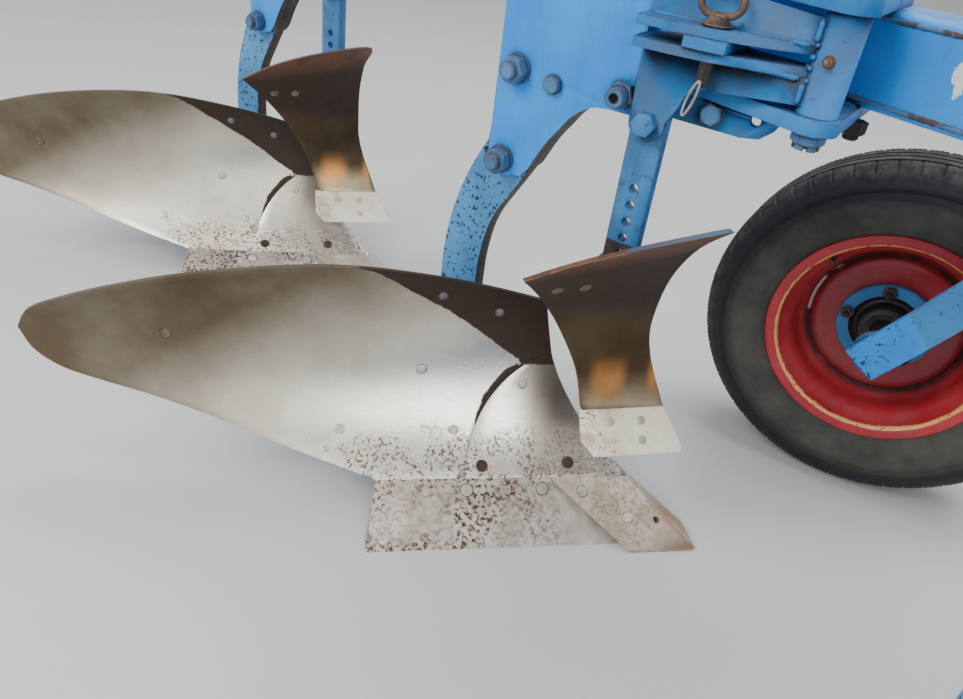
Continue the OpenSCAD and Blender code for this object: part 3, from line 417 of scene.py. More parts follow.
def stalk_paint():
    """Blue down to a ragged line, bare dark steel below it."""
    a = Mat("stalk_paint", 0.45)
    z = a.parts(a.uv)[1]
    blue = a.mix(a.noise(14.0, 5).step(0.3, 0.7), (44, 106, 156), (60, 134, 192))
    blue = a.mix(a.noise(70.0, 6, 0.7).step(0.56, 0.64) * 0.55, blue, (44, 60, 76))
    bare = a.mix(a.noise(60.0, 6, 0.7), (22, 20, 20), (64, 56, 50))
    wobble = (a.noise(30.0, 4) - 0.5) * 0.02
    low = (z + wobble).step(BARE_LINE + 0.002, BARE_LINE - 0.002)
    rub = a.edge() * a.noise(80.0, 5).step(0.42, 0.55)
    a.color = a.mix(low, blue, bare)
    a.coat(rub * 0.8, (86, 76, 68))
    return a.done(a.fmix(low, 0.45, 0.6), None, a.noise(160.0, 4), 0.0006, 0.5)


def wheel_radius(a):
    """Distance from the wheel's axle, in metres."""
    away = a.node("VectorMath", {0: a.coord, 1: mm(*WHEEL)}, operation="SUBTRACT")
    x, _, z = a.parts(away)
    return (x * x + z * z).root()


PALE_LINE_R, GROOVE_R = 0.1838, 0.1415


def rim_paint():
    """Red enamel, a pale line rubbed through where the flange turns, dirt and painted glints in the
    groove.
    """
    a = Mat("rim_paint", 0.38)
    r = wheel_radius(a)
    tone = a.noise(6.0, 4).step(0.3, 0.7)
    a.color = a.mix(tone, (196, 48, 56), (164, 40, 48))
    a.coat(r.step(0.150, 0.140), a.mix(tone, (160, 40, 50), (126, 32, 42)))
    dusty = a.noise(18.0, 6, 0.7).step(0.42, 0.66) * 0.22
    a.coat(dusty, (150, 98, 92))
    thick = a.noise(44.0, 6, 0.7) * 0.0046 + 0.0004
    pale = (thick - abs(r - PALE_LINE_R)).step(0.0, 0.0009) * a.noise(70.0, 4, 0.6).step(0.3, 0.44)
    a.coat(pale, a.mix(a.noise(90.0, 3), (246, 208, 132), (226, 148, 74)))
    groove = abs(r - GROOVE_R)
    dirt = groove.step(0.010, 0.004) * a.noise(20.0, 5).step(0.28, 0.5)
    a.coat(dirt * 0.85, (62, 34, 30))
    # painted glints: light specks along the groove's bottom
    painted_glint = groove.step(0.0035, 0.002) * a.noise(7.0, 3).step(0.62, 0.66)
    a.coat(painted_glint, (214, 186, 172))
    chip = a.noise(120.0, 6, 0.7).step(0.66, 0.68) * a.noise(9.0, 3).step(0.5, 0.6)
    a.coat(chip, (52, 30, 28))
    rough = dirt.max(chip) * 0.4 + 0.34 + dusty * 0.8
    return a.done(rough, None, a.noise(200.0, 3) * 0.15 - chip * 0.5, 0.0007, 0.6)


def rubber():
    """Dark tread and shoulder, side wall browned by dust, with fine moulded rings."""
    a = Mat("tyre_rubber", 0.78, 0.0, 0.3)
    r = wheel_radius(a)
    side = r.step(0.290, 0.252) * r.step(0.19, 0.205)
    cloud = a.noise(9.0, 6, 0.65).step(0.3, 0.72)
    a.color = a.mix(cloud, (27, 28, 31), (46, 46, 48))
    a.coat(side, a.mix(cloud, (56, 56, 51), (86, 84, 77)))
    edge = r.step(0.29, 0.326) * a.noise(30.0, 6, 0.7).step(0.44, 0.62)
    a.coat(edge * 0.5, (92, 86, 80))
    scratch = a.noise(60.0, 4, 0.7, (1.0, 1.0, 0.35)).step(0.68, 0.72)
    a.coat(scratch * 0.35, (24, 24, 24))
    ridges = (r * 2400.0).sine()
    moulded = abs(r - 0.290).step(0.012, 0.008).max(abs(r - 0.216).step(0.009, 0.006))
    h = ridges * moulded * 0.35 + a.noise(220.0, 4, 0.6)
    return a.done(cloud * 0.16 + 0.68, None, h, 0.0009, 0.6)


def chrome():
    a = Mat("rod_chrome", 0.12, 1.0)
    streak = a.noise(40.0, 4, 0.6, (1.0, 1.0, 0.1))
    a.color = a.mix(streak.step(0.4, 0.7), (226, 226, 228), (198, 198, 200))
    return a.done(streak * 0.14 + 0.09, None, streak, 0.0002, 0.3)


BLUE = paint("blue_paint", (48, 164, 255), (32, 144, 242), 0.3, 0.35)
BLUE_LEG = paint("blue_leg", (96, 166, 216), (70, 132, 182), 1.27, 0.5, 1.0, 0.5, size=3.1,
                 chip=((22, 24, 30), (56, 52, 52)), spread=0.26)
BLUE_WORN = paint("blue_worn", (62, 136, 194), (38, 98, 150), 1.1, 0.8, 0.8, 0.5)
BLUE_CONSOLE = paint("blue_console", (64, 148, 216), (44, 120, 186), 0.7, 0.5, 0.8, 0.48, (96, 88, 76))
BLUE_BEAM = paint("blue_beam", (56, 164, 248), (42, 142, 230), 0.35, 0.7, 0.5, 0.4, (116, 122, 124),
                  flake=True)
BLUE_BOLT = paint("blue_bolt", (86, 142, 186), (60, 104, 146), 1.3, 0.5, 1.5, 0.45)
ARM_BLUE = paint("blue_arm", (52, 164, 250), (40, 144, 232), 1.2, 0.35, 0.8, size=2.6,
                 chip=((18, 18, 22), (52, 44, 42)))
# painted shade: a darker, duller copy of the arm's blue for the plate past its bend
ARM_SHADED = paint("blue_arm_shaded", (76, 152, 208), (58, 124, 178), 1.1, 0.6, 0.9, 0.46, size=2.4,
                 chip=((30, 28, 30), (92, 80, 70)))
HUB_BLUE = paint("blue_hub", (70, 138, 196), (44, 96, 142), 1.0, 0.3, 0.9, 0.45)
WELD = paint("weld_seam", (84, 140, 186), (70, 104, 132), 1.9, 0.8, 1.2, 0.6, (112, 82, 60))
CREST_RIM = paint("crest_rim", (84, 152, 208), (60, 114, 162), 3.0, 0.3, 1.6, 0.55, size=1.5)
BOARD = polished("soil_polished", False)
SKIM = polished("skimmer_steel", True)
SHARE = ground_steel("share_steel", (206, 198, 188), (168, 156, 144), 1.0, span=(0.26, 0.61))
POINT = ground_steel("point_steel", (206, 196, 180), (178, 160, 136), 0.3, tip=True)
SKIM_SHARE = ground_steel("skimmer_share_steel", (255, 250, 226), (252, 238, 204), 0.05, 0.0, 0.4)
RUST = rusty("brown_rust", (74, 50, 38), (122, 88, 64), 0.2, 0.7, (140, 124, 108))
IRON = rusty("dark_iron", (46, 44, 42), (82, 76, 70), 0.4, 0.55, (142, 136, 128), 0.35)
GREASE = rusty("greasy_seat", (20, 18, 17), (44, 36, 30), 0.2, 0.5, (70, 62, 54), 0.2)
WORN_EDGE = rusty("worn_edge", (44, 36, 32), (84, 68, 56), 0.35, 0.55, (128, 112, 96), 0.35)
RUST_RIM = rusty("rust_rim", (78, 52, 40), (136, 96, 70), 0.3, 0.6, (164, 142, 122), 0.4)
RING_RUST = rusty("ring_rust", (66, 54, 46), (122, 104, 86), 0.4, 0.6, (170, 158, 142), 0.4, 2.0)
WIRE = rusty("zinc_wire", (150, 144, 138), (196, 190, 184), 0.85, 0.35, (226, 222, 216), 0.6, 3.0)
BOLT = rusty("bolt_steel", (92, 96, 100), (142, 144, 146), 0.6, 0.45, (196, 196, 192), 0.5, 2.0)
PITTED = rusty("pitted_bolt", (44, 32, 28), (88, 62, 50), 0.25, 0.65, (120, 100, 84), 0.25, 2.0)
PALE_BOLT = rusty("pale_bolt", (176, 168, 156), (214, 206, 192), 0.8, 0.36, (226, 220, 208), 0.4, 2.0)
DULL_BOLT = rusty("dull_bolt", (96, 84, 72), (140, 124, 106), 0.6, 0.45, (176, 164, 148), 0.4, 2.0)
STALK, RIM, TYRE, CHROME = stalk_paint(), rim_paint(), rubber(), chrome()


# ---- mesh tools
def new_bm():
    bm = bmesh.new()
    bm.loops.layers.uv.new("UVMap")
    bm.loops.layers.float_color.new("zone")
    return bm


def emit(name, bm, mats, where=ONCE, replaces=None, smooth=40, body="frame"):
    """Writes one object with a copy of bm at each place."""
    bmesh.ops.recalc_face_normals(bm, faces=bm.faces)
    src = bpy.data.meshes.new(name + "_src")
    bm.to_mesh(src)
    bm.free()
    out = bmesh.new()
    for m, flip in where:
        verts, faces = len(out.verts), len(out.faces)
        out.from_mesh(src)
        out.verts.ensure_lookup_table()
        out.faces.ensure_lookup_table()
        bmesh.ops.transform(out, matrix=m, verts=out.verts[verts:])
        if flip:
            bmesh.ops.reverse_faces(out, faces=out.faces[faces:])
    me = bpy.data.meshes.new(name)
    out.to_mesh(me)
    out.free()
    bpy.data.meshes.remove(src)
    for mat in mats:
        me.materials.append(mat)
    me.polygons.foreach_set("use_smooth", [True] * len(me.polygons))
    me.set_sharp_from_angle(angle=radians(smooth))
    me.update()
    ob = bpy.data.objects.new(name, me)
    bpy.context.scene.collection.objects.link(ob)
    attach(ob, body)
    if replaces:
        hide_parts(replaces)


def bevelled(bm, width, segments=2, angle=35):
    """Rounds the sharp edges of bm and returns a new bmesh."""
    me = bpy.data.meshes.new("b")
    bm.to_mesh(me)
    bm.free()
    ob = bpy.data.objects.new("b", me)
    bpy.context.scene.collection.objects.link(ob)
    mod = ob.modifiers.new("b", "BEVEL")
    mod.width, mod.segments = width, segments
    mod.limit_method, mod.angle_limit = "ANGLE", radians(angle)
    mod.use_clamp_overlap = True
    bpy.context.view_layer.update()
    ev = ob.evaluated_get(bpy.context.evaluated_depsgraph_get())
    out = bmesh.new()
    out.from_mesh(ev.to_mesh())
    ev.to_mesh_clear()
    bpy.data.objects.remove(ob)
    bpy.data.meshes.remove(me)
    return out


def aim(p, axis, roll=0.0):
    """Place at p whose local z points along axis."""
    m = Vector(axis).normalized().to_track_quat("Z", "Y").to_matrix().to_4x4()
    m @= Matrix.Rotation(roll, 4, "Z")
    m.translation = Vector(p)
    return m


def moved(m, x=0.0, y=0.0, z=0.0):
    return m @ Matrix.Translation((x, y, z))


def polar(r, a, z=0.0):
    return Vector((r * cos(a), r * sin(a), z))


def arc(centre, r, degrees, y=0.0):
    """Points round centre in an upright plane along x, moved sideways by y."""
    return [Vector(centre) + Vector((r * cos(a), y, r * sin(a))) for a in map(radians, degrees)]


def circle(bm, m, r, n, z=0.0):
    return [bm.verts.new(m @ polar(r, 2 * pi * k / n, z)) for k in range(n)]


def strip(bm, a, b, mat=0, shift=0):
    """Faces between two rings with the same number of points."""
    n = len(a)
    for k in range(n):
        j = (k + 1) % n
        bm.faces.new((a[k], a[j], b[(j + shift) % n], b[(k + shift) % n])).material_index = mat


def caps(bm, first, last, mat=0):
    bm.faces.new(list(reversed(first))).material_index = mat
    bm.faces.new(last).material_index = mat


def fan(bm, rim, top, mat=0):
    for k, v in enumerate(rim):
        bm.faces.new((v, rim[(k + 1) % len(rim)], top)).material_index = mat


def spin(bm, prof, n, m, mat=0, close=False):
    """Turns a profile of (radius, height) about the local z of m."""
    rings = [circle(bm, m, r, n, h) if r else [bm.verts.new(m @ Vector((0, 0, h)))] for r, h in prof]
    for a, b in zip(rings, rings[1:] + rings[:1] * close):
        if len(a) == len(b):
            strip(bm, a, b, mat)
        elif len(b) == 1:
            fan(bm, a, b[0], mat)
        else:
            fan(bm, list(reversed(b)), a[0], mat)


def hexhead(bm, m, across, h, mat=0, dome=0.0):
    """Six-sided head from local z = 0 to h with its corners turned off."""
    n, flat = 24, across / 2
    crown = 0.94 * flat
    angles = [2 * pi * i / n for i in range(n)]
    radii = [flat / cos((a + pi / 6) % (pi / 3) - pi / 6) for a in angles]
    foot, brim, top = ([bm.verts.new(m @ polar(r, a, z)) for a, (r, z) in zip(angles, row)] for row in (
        [(r, 0) for r in radii], [(r, h - (r - crown) * 0.75 - 0.3) for r in radii], [(crown, h)] * n))
    strip(bm, foot, brim, mat)
    strip(bm, brim, top, mat)
    fan(bm, top, bm.verts.new(m @ Vector((0, 0, h + dome))), mat)
    bm.faces.new(list(reversed(foot))).material_index = mat


def washer(bm, m, d, t, mat=0):
    spin(bm, [(0, 0), (d / 2, 0), (d / 2, t - .5), (d / 2 - .6, t), (0, t)], 28, m, mat)


def seated(bm, m, d, t, across, h, mat=0, sink=0.1, dome=0.0):
    """Hex head on a washer of diameter d and thickness t."""
    washer(bm, m, d, t, mat)
    hexhead(bm, moved(m, z=t - sink), across, h, mat, dome)


THREAD_PITCH = 2.5


def thread(bm, m, d, z0, z1, mat=0):
    """Threaded end of a bolt, from z0 to z1, with its point chamfered."""
    root = d / 2 - 1.1
    prof, z = [(0, z0), (d / 2 - 1.2, z0)], z0
    while z + THREAD_PITCH < z1 - 1.5:
        prof += [(root, z + 0.1 * THREAD_PITCH), (d / 2, z + 0.5 * THREAD_PITCH)]
        z += THREAD_PITCH
    spin(bm, prof + [(root, z1 - 1.5), (d / 2 - 2.2, z1), (0, z1)], 20, m, mat)


def bead(bm, pts, r, mat=0, step=4.0, seed=0.0):
    """Weld bead: a lumpy tube along a line."""
    pts = [Vector(p) for p in pts]
    way = pts[:1]
    for a, b in zip(pts, pts[1:]):
        n = max(1, int((b - a).length / step))
        way += [a.lerp(b, k / n) for k in range(1, n + 1)]
    rings, last = [], len(way) - 1
    for i, p in enumerate(way):
        m = aim(p, (way[min(i + 1, last)] - way[max(i - 1, 0)]).normalized())
        lump = noise.noise(Vector((p.x * .07 + seed, p.y * .07, p.z * .07)))
        thick = r * (1 + .22 * lump + (.1 if i % 2 else -.06)) * (.45 if i in (0, last) else 1)
        rings.append(circle(bm, m, thick, 6))
    for a, b in zip(rings, rings[1:]):
        strip(bm, a, b, mat)
    caps(bm, rings[0], rings[-1], mat)


def tube(bm, pts, r, n, mat=0, closed=False):
    """Round bar along a line of points."""
    rings, count = [], len(pts)
    for i, p in enumerate(pts):
        before, after = pts[i - 1], pts[(i + 1) % count]
        if not closed:
            before, after = pts[max(i - 1, 0)], pts[min(i + 1, count - 1)]
        rings.append(circle(bm, aim(p, after - before), r, n))
    for a, b in zip(rings, rings[1:] + rings[:1] * closed):
        # the ring nearest in turn, so that the tube doesn't twist shut
        strip(bm, a, b, mat, min(range(n), key=lambda s: sum(
            (a[k].co - b[(k + s) % n].co).length for k in (0, n // 3))))
    if not closed:
        caps(bm, rings[0], rings[-1], mat)


def slab(bm, pts, z0, z1, m, mat=0):
    """Straight prism over a polygon of (x, y)."""
    a, b = ([bm.verts.new(m @ Vector((x, y, z))) for x, y in pts] for z in (z0, z1))
    caps(bm, a, b, mat)
    strip(bm, a, b, mat)


def dress(node, mats, width, segments=2, uv=None, sort=None, move=None):
    """A node's solids with rounded edges, in place of the node."""
    bm = bmesh.new()
    bm.from_mesh(frame["nodes"][node].data)
    bmesh.ops.scale(bm, vec=(1000, 1000, 1000), verts=bm.verts)
    bmesh.ops.remove_doubles(bm, verts=bm.verts, dist=0.01)
    bmesh.ops.dissolve_limit(bm, angle_limit=radians(0.6), verts=bm.verts, edges=bm.edges)
    bmesh.ops.recalc_face_normals(bm, faces=bm.faces)
    for f in bm.faces:
        f.material_index = sort(f) if sort else 0
    if move:
        for v in bm.verts:
            v.co = move(v.co)
    bm = bevelled(bm, width, segments)
    if uv:
        layer = bm.loops.layers.uv.get("UVMap") or bm.loops.layers.uv.new("UVMap")
        for f in bm.faces:
            for l in f.loops:
                l[layer].uv = uv(l.vert.co)
    where = [(Matrix.Scale(0.001, 4), False)]
    emit(node + "_dressed", bm, mats, where, node, body=frame["nodes"][node]["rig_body"])


# ---- plates with a curved face
def curved_plate(kind, low, high, rows, thick, zone, edge, rim=lambda t, z: 0):
    """Plate whose face follows board or skimmer between two lines of (t, z), with rounded rims."""
    n = len(low)
    bm = new_bm()
    uv_layer, zone_layer = bm.loops.layers.uv["UVMap"], bm.loops.layers.float_color["zone"]
    front, back, place = [], [], {}
    for j in range(rows + 1):
        for i in range(n):
            q = low[i].lerp(high[i], j / rows)
            for depth, side in ((0.0, front), (thick, back)):
                v = bm.verts.new(on_face(kind, q.x, q.y, depth)[0])
                side.append(v)
                place[v] = (q.x, q.y)
    for j in range(rows):
        for i in range(n - 1):
            k = j * n + i
            c = (k, k + 1, k + n + 1, k + n)
            bm.faces.new([front[x] for x in reversed(c)])
            bm.faces.new([back[x] for x in c]).material_index = 1
    ring = list(range(n)) + [r * n + n - 1 for r in range(1, rows + 1)]
    ring += [rows * n + i for i in range(n - 2, -1, -1)] + [r * n for r in range(rows - 1, 0, -1)]
    for a, b in zip(ring, ring[1:] + ring[:1]):
        f = bm.faces.new((front[a], front[b], back[b], back[a]))
        f.material_index = rim(*place[front[a]])
    for f in bm.faces:
        for l in f.loops:
            t, z = place[l.vert]
            l[uv_layer].uv = (t / 1000, z / 1000)
            l[zone_layer] = (*zone(t, z), 1.0)
    bmesh.ops.recalc_face_normals(bm, faces=bm.faces)
    bmesh.ops.remove_doubles(bm, verts=bm.verts, dist=0.02)
    return bevelled(bm, edge, 2, 50)


def height_over(line, t, z):
    """Height of z over a line of (t, z) that is sorted by t."""
    k = next((i for i in range(1, len(line)) if line[i][0] >= t), len(line) - 1)
    (t0, z0), (t1, z1) = line[k - 1], line[k]
    return z - (z0 + (z1 - z0) * (t - t0) / max(1e-6, t1 - t0))


SEAM = [(300, 240), (345, 207), (385, 160), (410, 110)]
FILM_EDGE = [(250, 205), (312, 235), (359, 263), (398, 292), (432, 315), (466, 336), (501, 358),
             (533, 377), (563, 399), (593, 417), (640, 430)]
PATCH_SEAM = [(250, 262)] + SEAM + [(421, 69)]


def board_zone(t, z):
    film = clamp01(0.5 + height_over(FILM_EDGE, t, z) / 16)
    if t > 600:
        film = clamp01(0.62 - (t - 600) / 160) if z > 414 else 0.0
    # dark patch left of the seam to the shin
    off_seam = abs(height_over(PATCH_SEAM, t, z) - 8)
    patch = clamp01(1 - off_seam / 26) * clamp01((z - 118) / 24) * clamp01((246 - z) / 22)
    speck = clamp01((150 - z) / 60) * clamp01((700 - t) / 90)
    # third zone, dullness and painted shade: rising up and back over the board
    return (max(film, patch), speck, clamp01((z - 120) / 330 + (t - 620) / 520))


def shin_zone(t, z):
    # dullness and painted shade, rising up from the foot and towards the front edge
    dull_and_shade = clamp01((z - 60) / 120) * clamp01((342 - t) / 60) * 0.8
    return (clamp01((z - 222) / 22), clamp01((150 - z) / 60), dull_and_shade)


BOARD_FOOT = 68.6
SHIN_TOP = 252
CREST = [(front_t(352), 352), (392, 380), (500, 404), (610, 423), (700, 428), (800, 422), (900, 406),
         (993, 380), (1068, 352), (1121, 325), (1143, 290)]
HEM = [(576, BOARD_FOOT), (680, 93), (770, 118), (860, 146), (950, 173), (1023, 193), (1088, 215),
       (1128, 246), (1143, 286)]
SHIN_SEAM = [(front_t(SHIN_TOP), SHIN_TOP)] + SEAM + [(421, BOARD_FOOT)]


def mouldboards():
    foot = straight((435, BOARD_FOOT), (576, BOARD_FOOT), 10)[1:-1]
    low = spline(SHIN_SEAM, 7) + foot + spline(HEM, 7)
    high = spread_over(spline(CREST, 8), len(low))
    bm = curved_plate("board", low, high, 22, BOARD_T, board_zone, 2.0)
    emit("mouldboard_plates", bm, [BOARD, BLUE_WORN], BODIES, "mouldboards", 50)


def shins():
    seam = [Vector((p.x - 0.6, p.y)) for p in spline(SHIN_SEAM, 6)]
    heights = [248 + (BOARD_FOOT - 248) * i / (len(seam) - 1) for i in range(len(seam))]
    front = [Vector((front_t(z), z)) for z in heights]
    bm = curved_plate("board", front, seam, 8, BOARD_T, shin_zone, 1.6)
    emit("shin_plates", bm, [BOARD, BLUE_WORN], BODIES, "shins", 50)


mouldboards()
shins()


# ---- where a point lies on its own body
def body_place(co):
    """A point in its own body's frame, and the same point as (t, s, z) of the share's face."""
    z = lower(co.z)
    ca, sa = cos(radians(SHARE_ANGLE)), sin(radians(SHARE_ANGLE))
    copies = []
    for i in range(FURROWS):
        x, y = co.x + OX - (1 - i) * PITCH_X, co.y + OY - (i - 1) * PITCH_Y
        s = -x * sa + y * ca
        copies.append((abs(s - 60), Vector((x, y, z)), Vector((-(x * ca + y * sa), s, z))))
    return min(copies, key=lambda c: c[0])[1:]


def share_uv(co):
    q = body_place(co)[1]
    return (q.x / 1000, q.z / 1000)


def height_uv(co):
    return (co.x / 1000, lower(co.z) / 1000)


def front_faces(z0=0, z1=2000, ahead=0.35):
    """Sorts a face: 1 where it looks ahead between two heights, 0 elsewhere."""
    return lambda f: int(f.normal.x > ahead and z0 < lower(f.calc_center_median().z) < z1)


# ---- shares, points and their bolts
dress("shares", [SHARE], 1.0, uv=share_uv)
dress("points", [POINT], 2.2, 3, uv=share_uv)
POINT_RUN = (SEAM_RUN - 8 + 22) / 62.0
# Bolts as t, z, radius, material and width of the dirty ring: with a nut behind, without one, in the
# share, in the point
NUTTED_BOLTS = ((470, 362, 6.5, 0, 2.0), (368, 330, 6.5, 0, 1.8), (498, 222, 8, 3, 1.6),
                (439, 128, 8, 3, 1.2), (924, 280, 8.5, 4, 2.0), (640, 128, 9, 3, 0.6))
PLAIN_BOLTS = ((314, 199, 8, 3, 0.8), (389, 82, 10, 2, 1.6), (229, 85, 10, 2, 1.6), (468, 81, 9, 3, 0.6))
SHARE_BOLTS = ((418, 57, 10.5, 3, 1.8), (281, 57, 10.5, 3, 1.8))
POINT_BOLTS = ((209, 58, 10, 3, 1.2), (131, 34, 9, 3, 0.5))


def on_point(t, z):
    rot = Matrix.Rotation(radians(SHARE_ANGLE), 3, "Z")
    p = rot @ Vector((-t, -22 + (z - 6) * POINT_RUN, z))
    return p, rot @ Vector((0, -1.0, POINT_RUN)).normalized()


def flush_bolt(bm, place, r, mat, ring, rise=0.9):
    """Countersunk head scoured flush with its plate, with the dirty line round it."""
    m = aim(*place)
    spin(bm, [(r + ring, -1.0), (r + ring, 0.25), (r + 0.2, 0.35), (r, -0.6)], 28, m, 1)
    head = [(r, -1.0), (r, rise * 0.5), (r - 0.8, rise * 0.9), (r * 0.5, rise), (0, rise * 1.02)]
    spin(bm, head, 28, m, mat)


def plate_bolts():
    bm = new_bm()
    for t, z, *look in NUTTED_BOLTS + PLAIN_BOLTS:
        flush_bolt(bm, on_face("board", t, z), *look)
    for t, z, *look in SHARE_BOLTS:
        flush_bolt(bm, on_face("board", t, z), *look, 0.5)
    for t, z, *look in POINT_BOLTS:
        flush_bolt(bm, on_point(t, z), *look, 0.5)
    mats = [BOLT, IRON, PITTED, PALE_BOLT, DULL_BOLT]
    emit("plough_bolts", bm, mats, BODIES, smooth=35)
    back = new_bm()
    for t, z, *_ in NUTTED_BOLTS:
        p, n = on_face("board", t, z, BOARD_T)
        m = aim(p + n * 0.5, -n, 0.3)
        seated(back, m, 28, 2.6, 19, 10, sink=0.2)
        thread(back, m, 12, 11, 19)
    emit("plough_bolt_nuts", back, [RUST], BODIES, smooth=35)


plate_bolts()

# ---- skimmers
SKIM_HEM = 265.6
SKIM_SIDE = [(254, 266), (268, 330), (312, 410), (362, 480), (411, 537)]
SKIM_CREST = [(139, 344), (151, 391), (154, 438), (156, 508), (152, 574), (146, 625), (250, 609),
              (337, 580), (411, 538)]
SKIM_SHARE_FOOT = [(79, 212), (81, 207.5), (86, 205), (110, 205), (140, 205), (170, 205), (200, 205),
                   (225, 205), (238, 206), (255, 222)]


def skim_zone(t, z):
    """Brown film, rust at the crest, olive dullness with painted shade."""
    film = clamp01((z - 392 - 0.12 * (t - 150)) / 70)
    left = clamp01((t - 215 - 0.55 * (z - 265)) / 40)
    crest = clamp01((z - 560 + 0.12 * (t - 150)) / 40)
    return (max(film, left * 0.7), crest, clamp01((z - 255) / 70))


def skimmer_boards():
    low = straight((109, SKIM_HEM), (254, SKIM_HEM), 12)[:-1] + spline(SKIM_SIDE, 6)
    high = spread_over(spline(SKIM_CREST, 10), len(low))
    bm = curved_plate("skim", low, high, 22, SKIM_T, skim_zone, 1.4,
                      lambda t, z: 2 if t < 300 and z > 520 else 3)
    mats = [SKIM, BLUE_WORN, CREST_RIM, RUST_RIM]
    emit("skimmer_plates", bm, mats, BODIES, "skimmer_boards", 50)


def skimmer_shares():
    low = [Vector(p) for p in SKIM_SHARE_FOOT]
    bm = curved_plate("skim", low, straight((108, 265), (255, 265), 9), 10, SKIM_SHARE_T,
                      lambda t, z: (clamp01((t - 178) / 34), 0.05, 0), 1.6)
    emit("skimmer_share_plates", bm, [SKIM_SHARE, RUST], BODIES, "skimmer_shares", 50)
    bolts = new_bm()
    for t, z in ((150, 247), (205, 247), (150, 222)):
        flush_bolt(bolts, on_face("skim", t, z), 6.5, 0, 0.6, 0.4)
    for t, z in ((345, 500), (300, 500)):
        flush_bolt(bolts, on_face("skim", t, z), 8, 2, 1.2)
    emit("skimmer_bolts", bolts, [PALE_BOLT, IRON, DULL_BOLT], BODIES, smooth=35)


skimmer_boards()
skimmer_shares()
CLAMP = Vector((-247, -74.4, AXIS_H - 120))
CLAMP_REACH, CLAMP_SHRINK = 26, 0.17


def smaller_head(co):
    """The real clamp bolt has a smaller head than the solid."""
    p = body_place(co)[0]
    dx, dz = p.x - CLAMP.x, p.z - CLAMP.z
    if p.y > CLAMP.y or math.hypot(dx, dz) > CLAMP_REACH:
        return co
    return co - Vector((dx, 0, dz if co.z < AXIS_H else -dz)) * CLAMP_SHRINK


dress("skimmer_stalks", [STALK], 1.6, uv=height_uv, move=smaller_head)
dress("skimmer_brackets", [IRON], 2.5)

# ---- legs, cheeks, frogs
dress("legs", [BLUE_LEG, WORN_EDGE], 3.0, 3, sort=front_faces())
dress("cheeks", [BLUE, WORN_EDGE], 1.6, sort=front_faces(560, 722, 0.2))
dress("frogs", [BLUE_WORN], 3.0)
dress("landsides", [RUST], 2.0)
dress("wing_stays", [BLUE_WORN], 1.2)
LEG_Y, LEG_HALF, LEG_GAP, CHEEK_T = -35, 14.8, 0.2, 12
NEAR_Y = LEG_Y - LEG_HALF - LEG_GAP - CHEEK_T
FAR_Y = LEG_Y + LEG_HALF + LEG_GAP + CHEEK_T
# x, z, diameter, near end, roll
LEG_BOLTS = ((-471, 599, 24, "long", 0.2), (-463, 739, 24, "long", 0.5), (-401, 730, 16, "head", 0.1),
             (-293, 741, 24, "sleeve", 0.35))


def leg_bolts():
    """Bolts of cheek and leg: a head, or a nut with a long thread, on the near side."""
    bm = new_bm()
    for x, z, d, near, roll in LEG_BOLTS:
        m = aim((x, NEAR_Y, z), (0, -1, 0), roll)
        if near == "head":
            seated(bm, m, 29, 1.6, 1.5 * d, 9, sink=0, dome=0.3)
        elif near == "long":
            seated(bm, m, 44, 3.5, 1.5 * d, 19)
            thread(bm, m, d, 21, 33)
        else:
            hexhead(bm, m, 34, 15)
            spin(bm, [(7, 20), (7, 33), (12.5, 33), (14, 31.5), (14, 14)], 28, m)
            spin(bm, [(0, 22), (7, 22)], 20, m, 1)
        seated(bm, aim((x, FAR_Y, z), (0, 1, 0), roll), 1.85 * d, 3, 1.5 * d, 0.62 * d)
    emit("leg_bolts_dressed", bm, [BLUE_BOLT, IRON], BODIES, "leg_bolts", 35)


leg_bolts()

# ---- consoles, hinges and pins
HINGE, SET_PIN = Vector((-40, -55, AXIS_H)), Vector((-181, -91, AXIS_H))
HINGE_TOP = 80
FORK_TOP = 19.5
WEB_Y = NEAR_Y - LEG_GAP - CHEEK_T
WEB_BOLT_X, WEB_BOLT_Z = -173, 97
WEB_LIP = [(-226, -24), (-189, -24), (-189, -16), (-226, -16)]
LUG_Z = 80.5
NIPPLE = [(3.2, 4), (3.2, 6), (2.2, 7.2), (2.2, 8.5), (3.4, 9.5), (3.2, 11.5), (1.6, 12.6), (0, 12.8)]


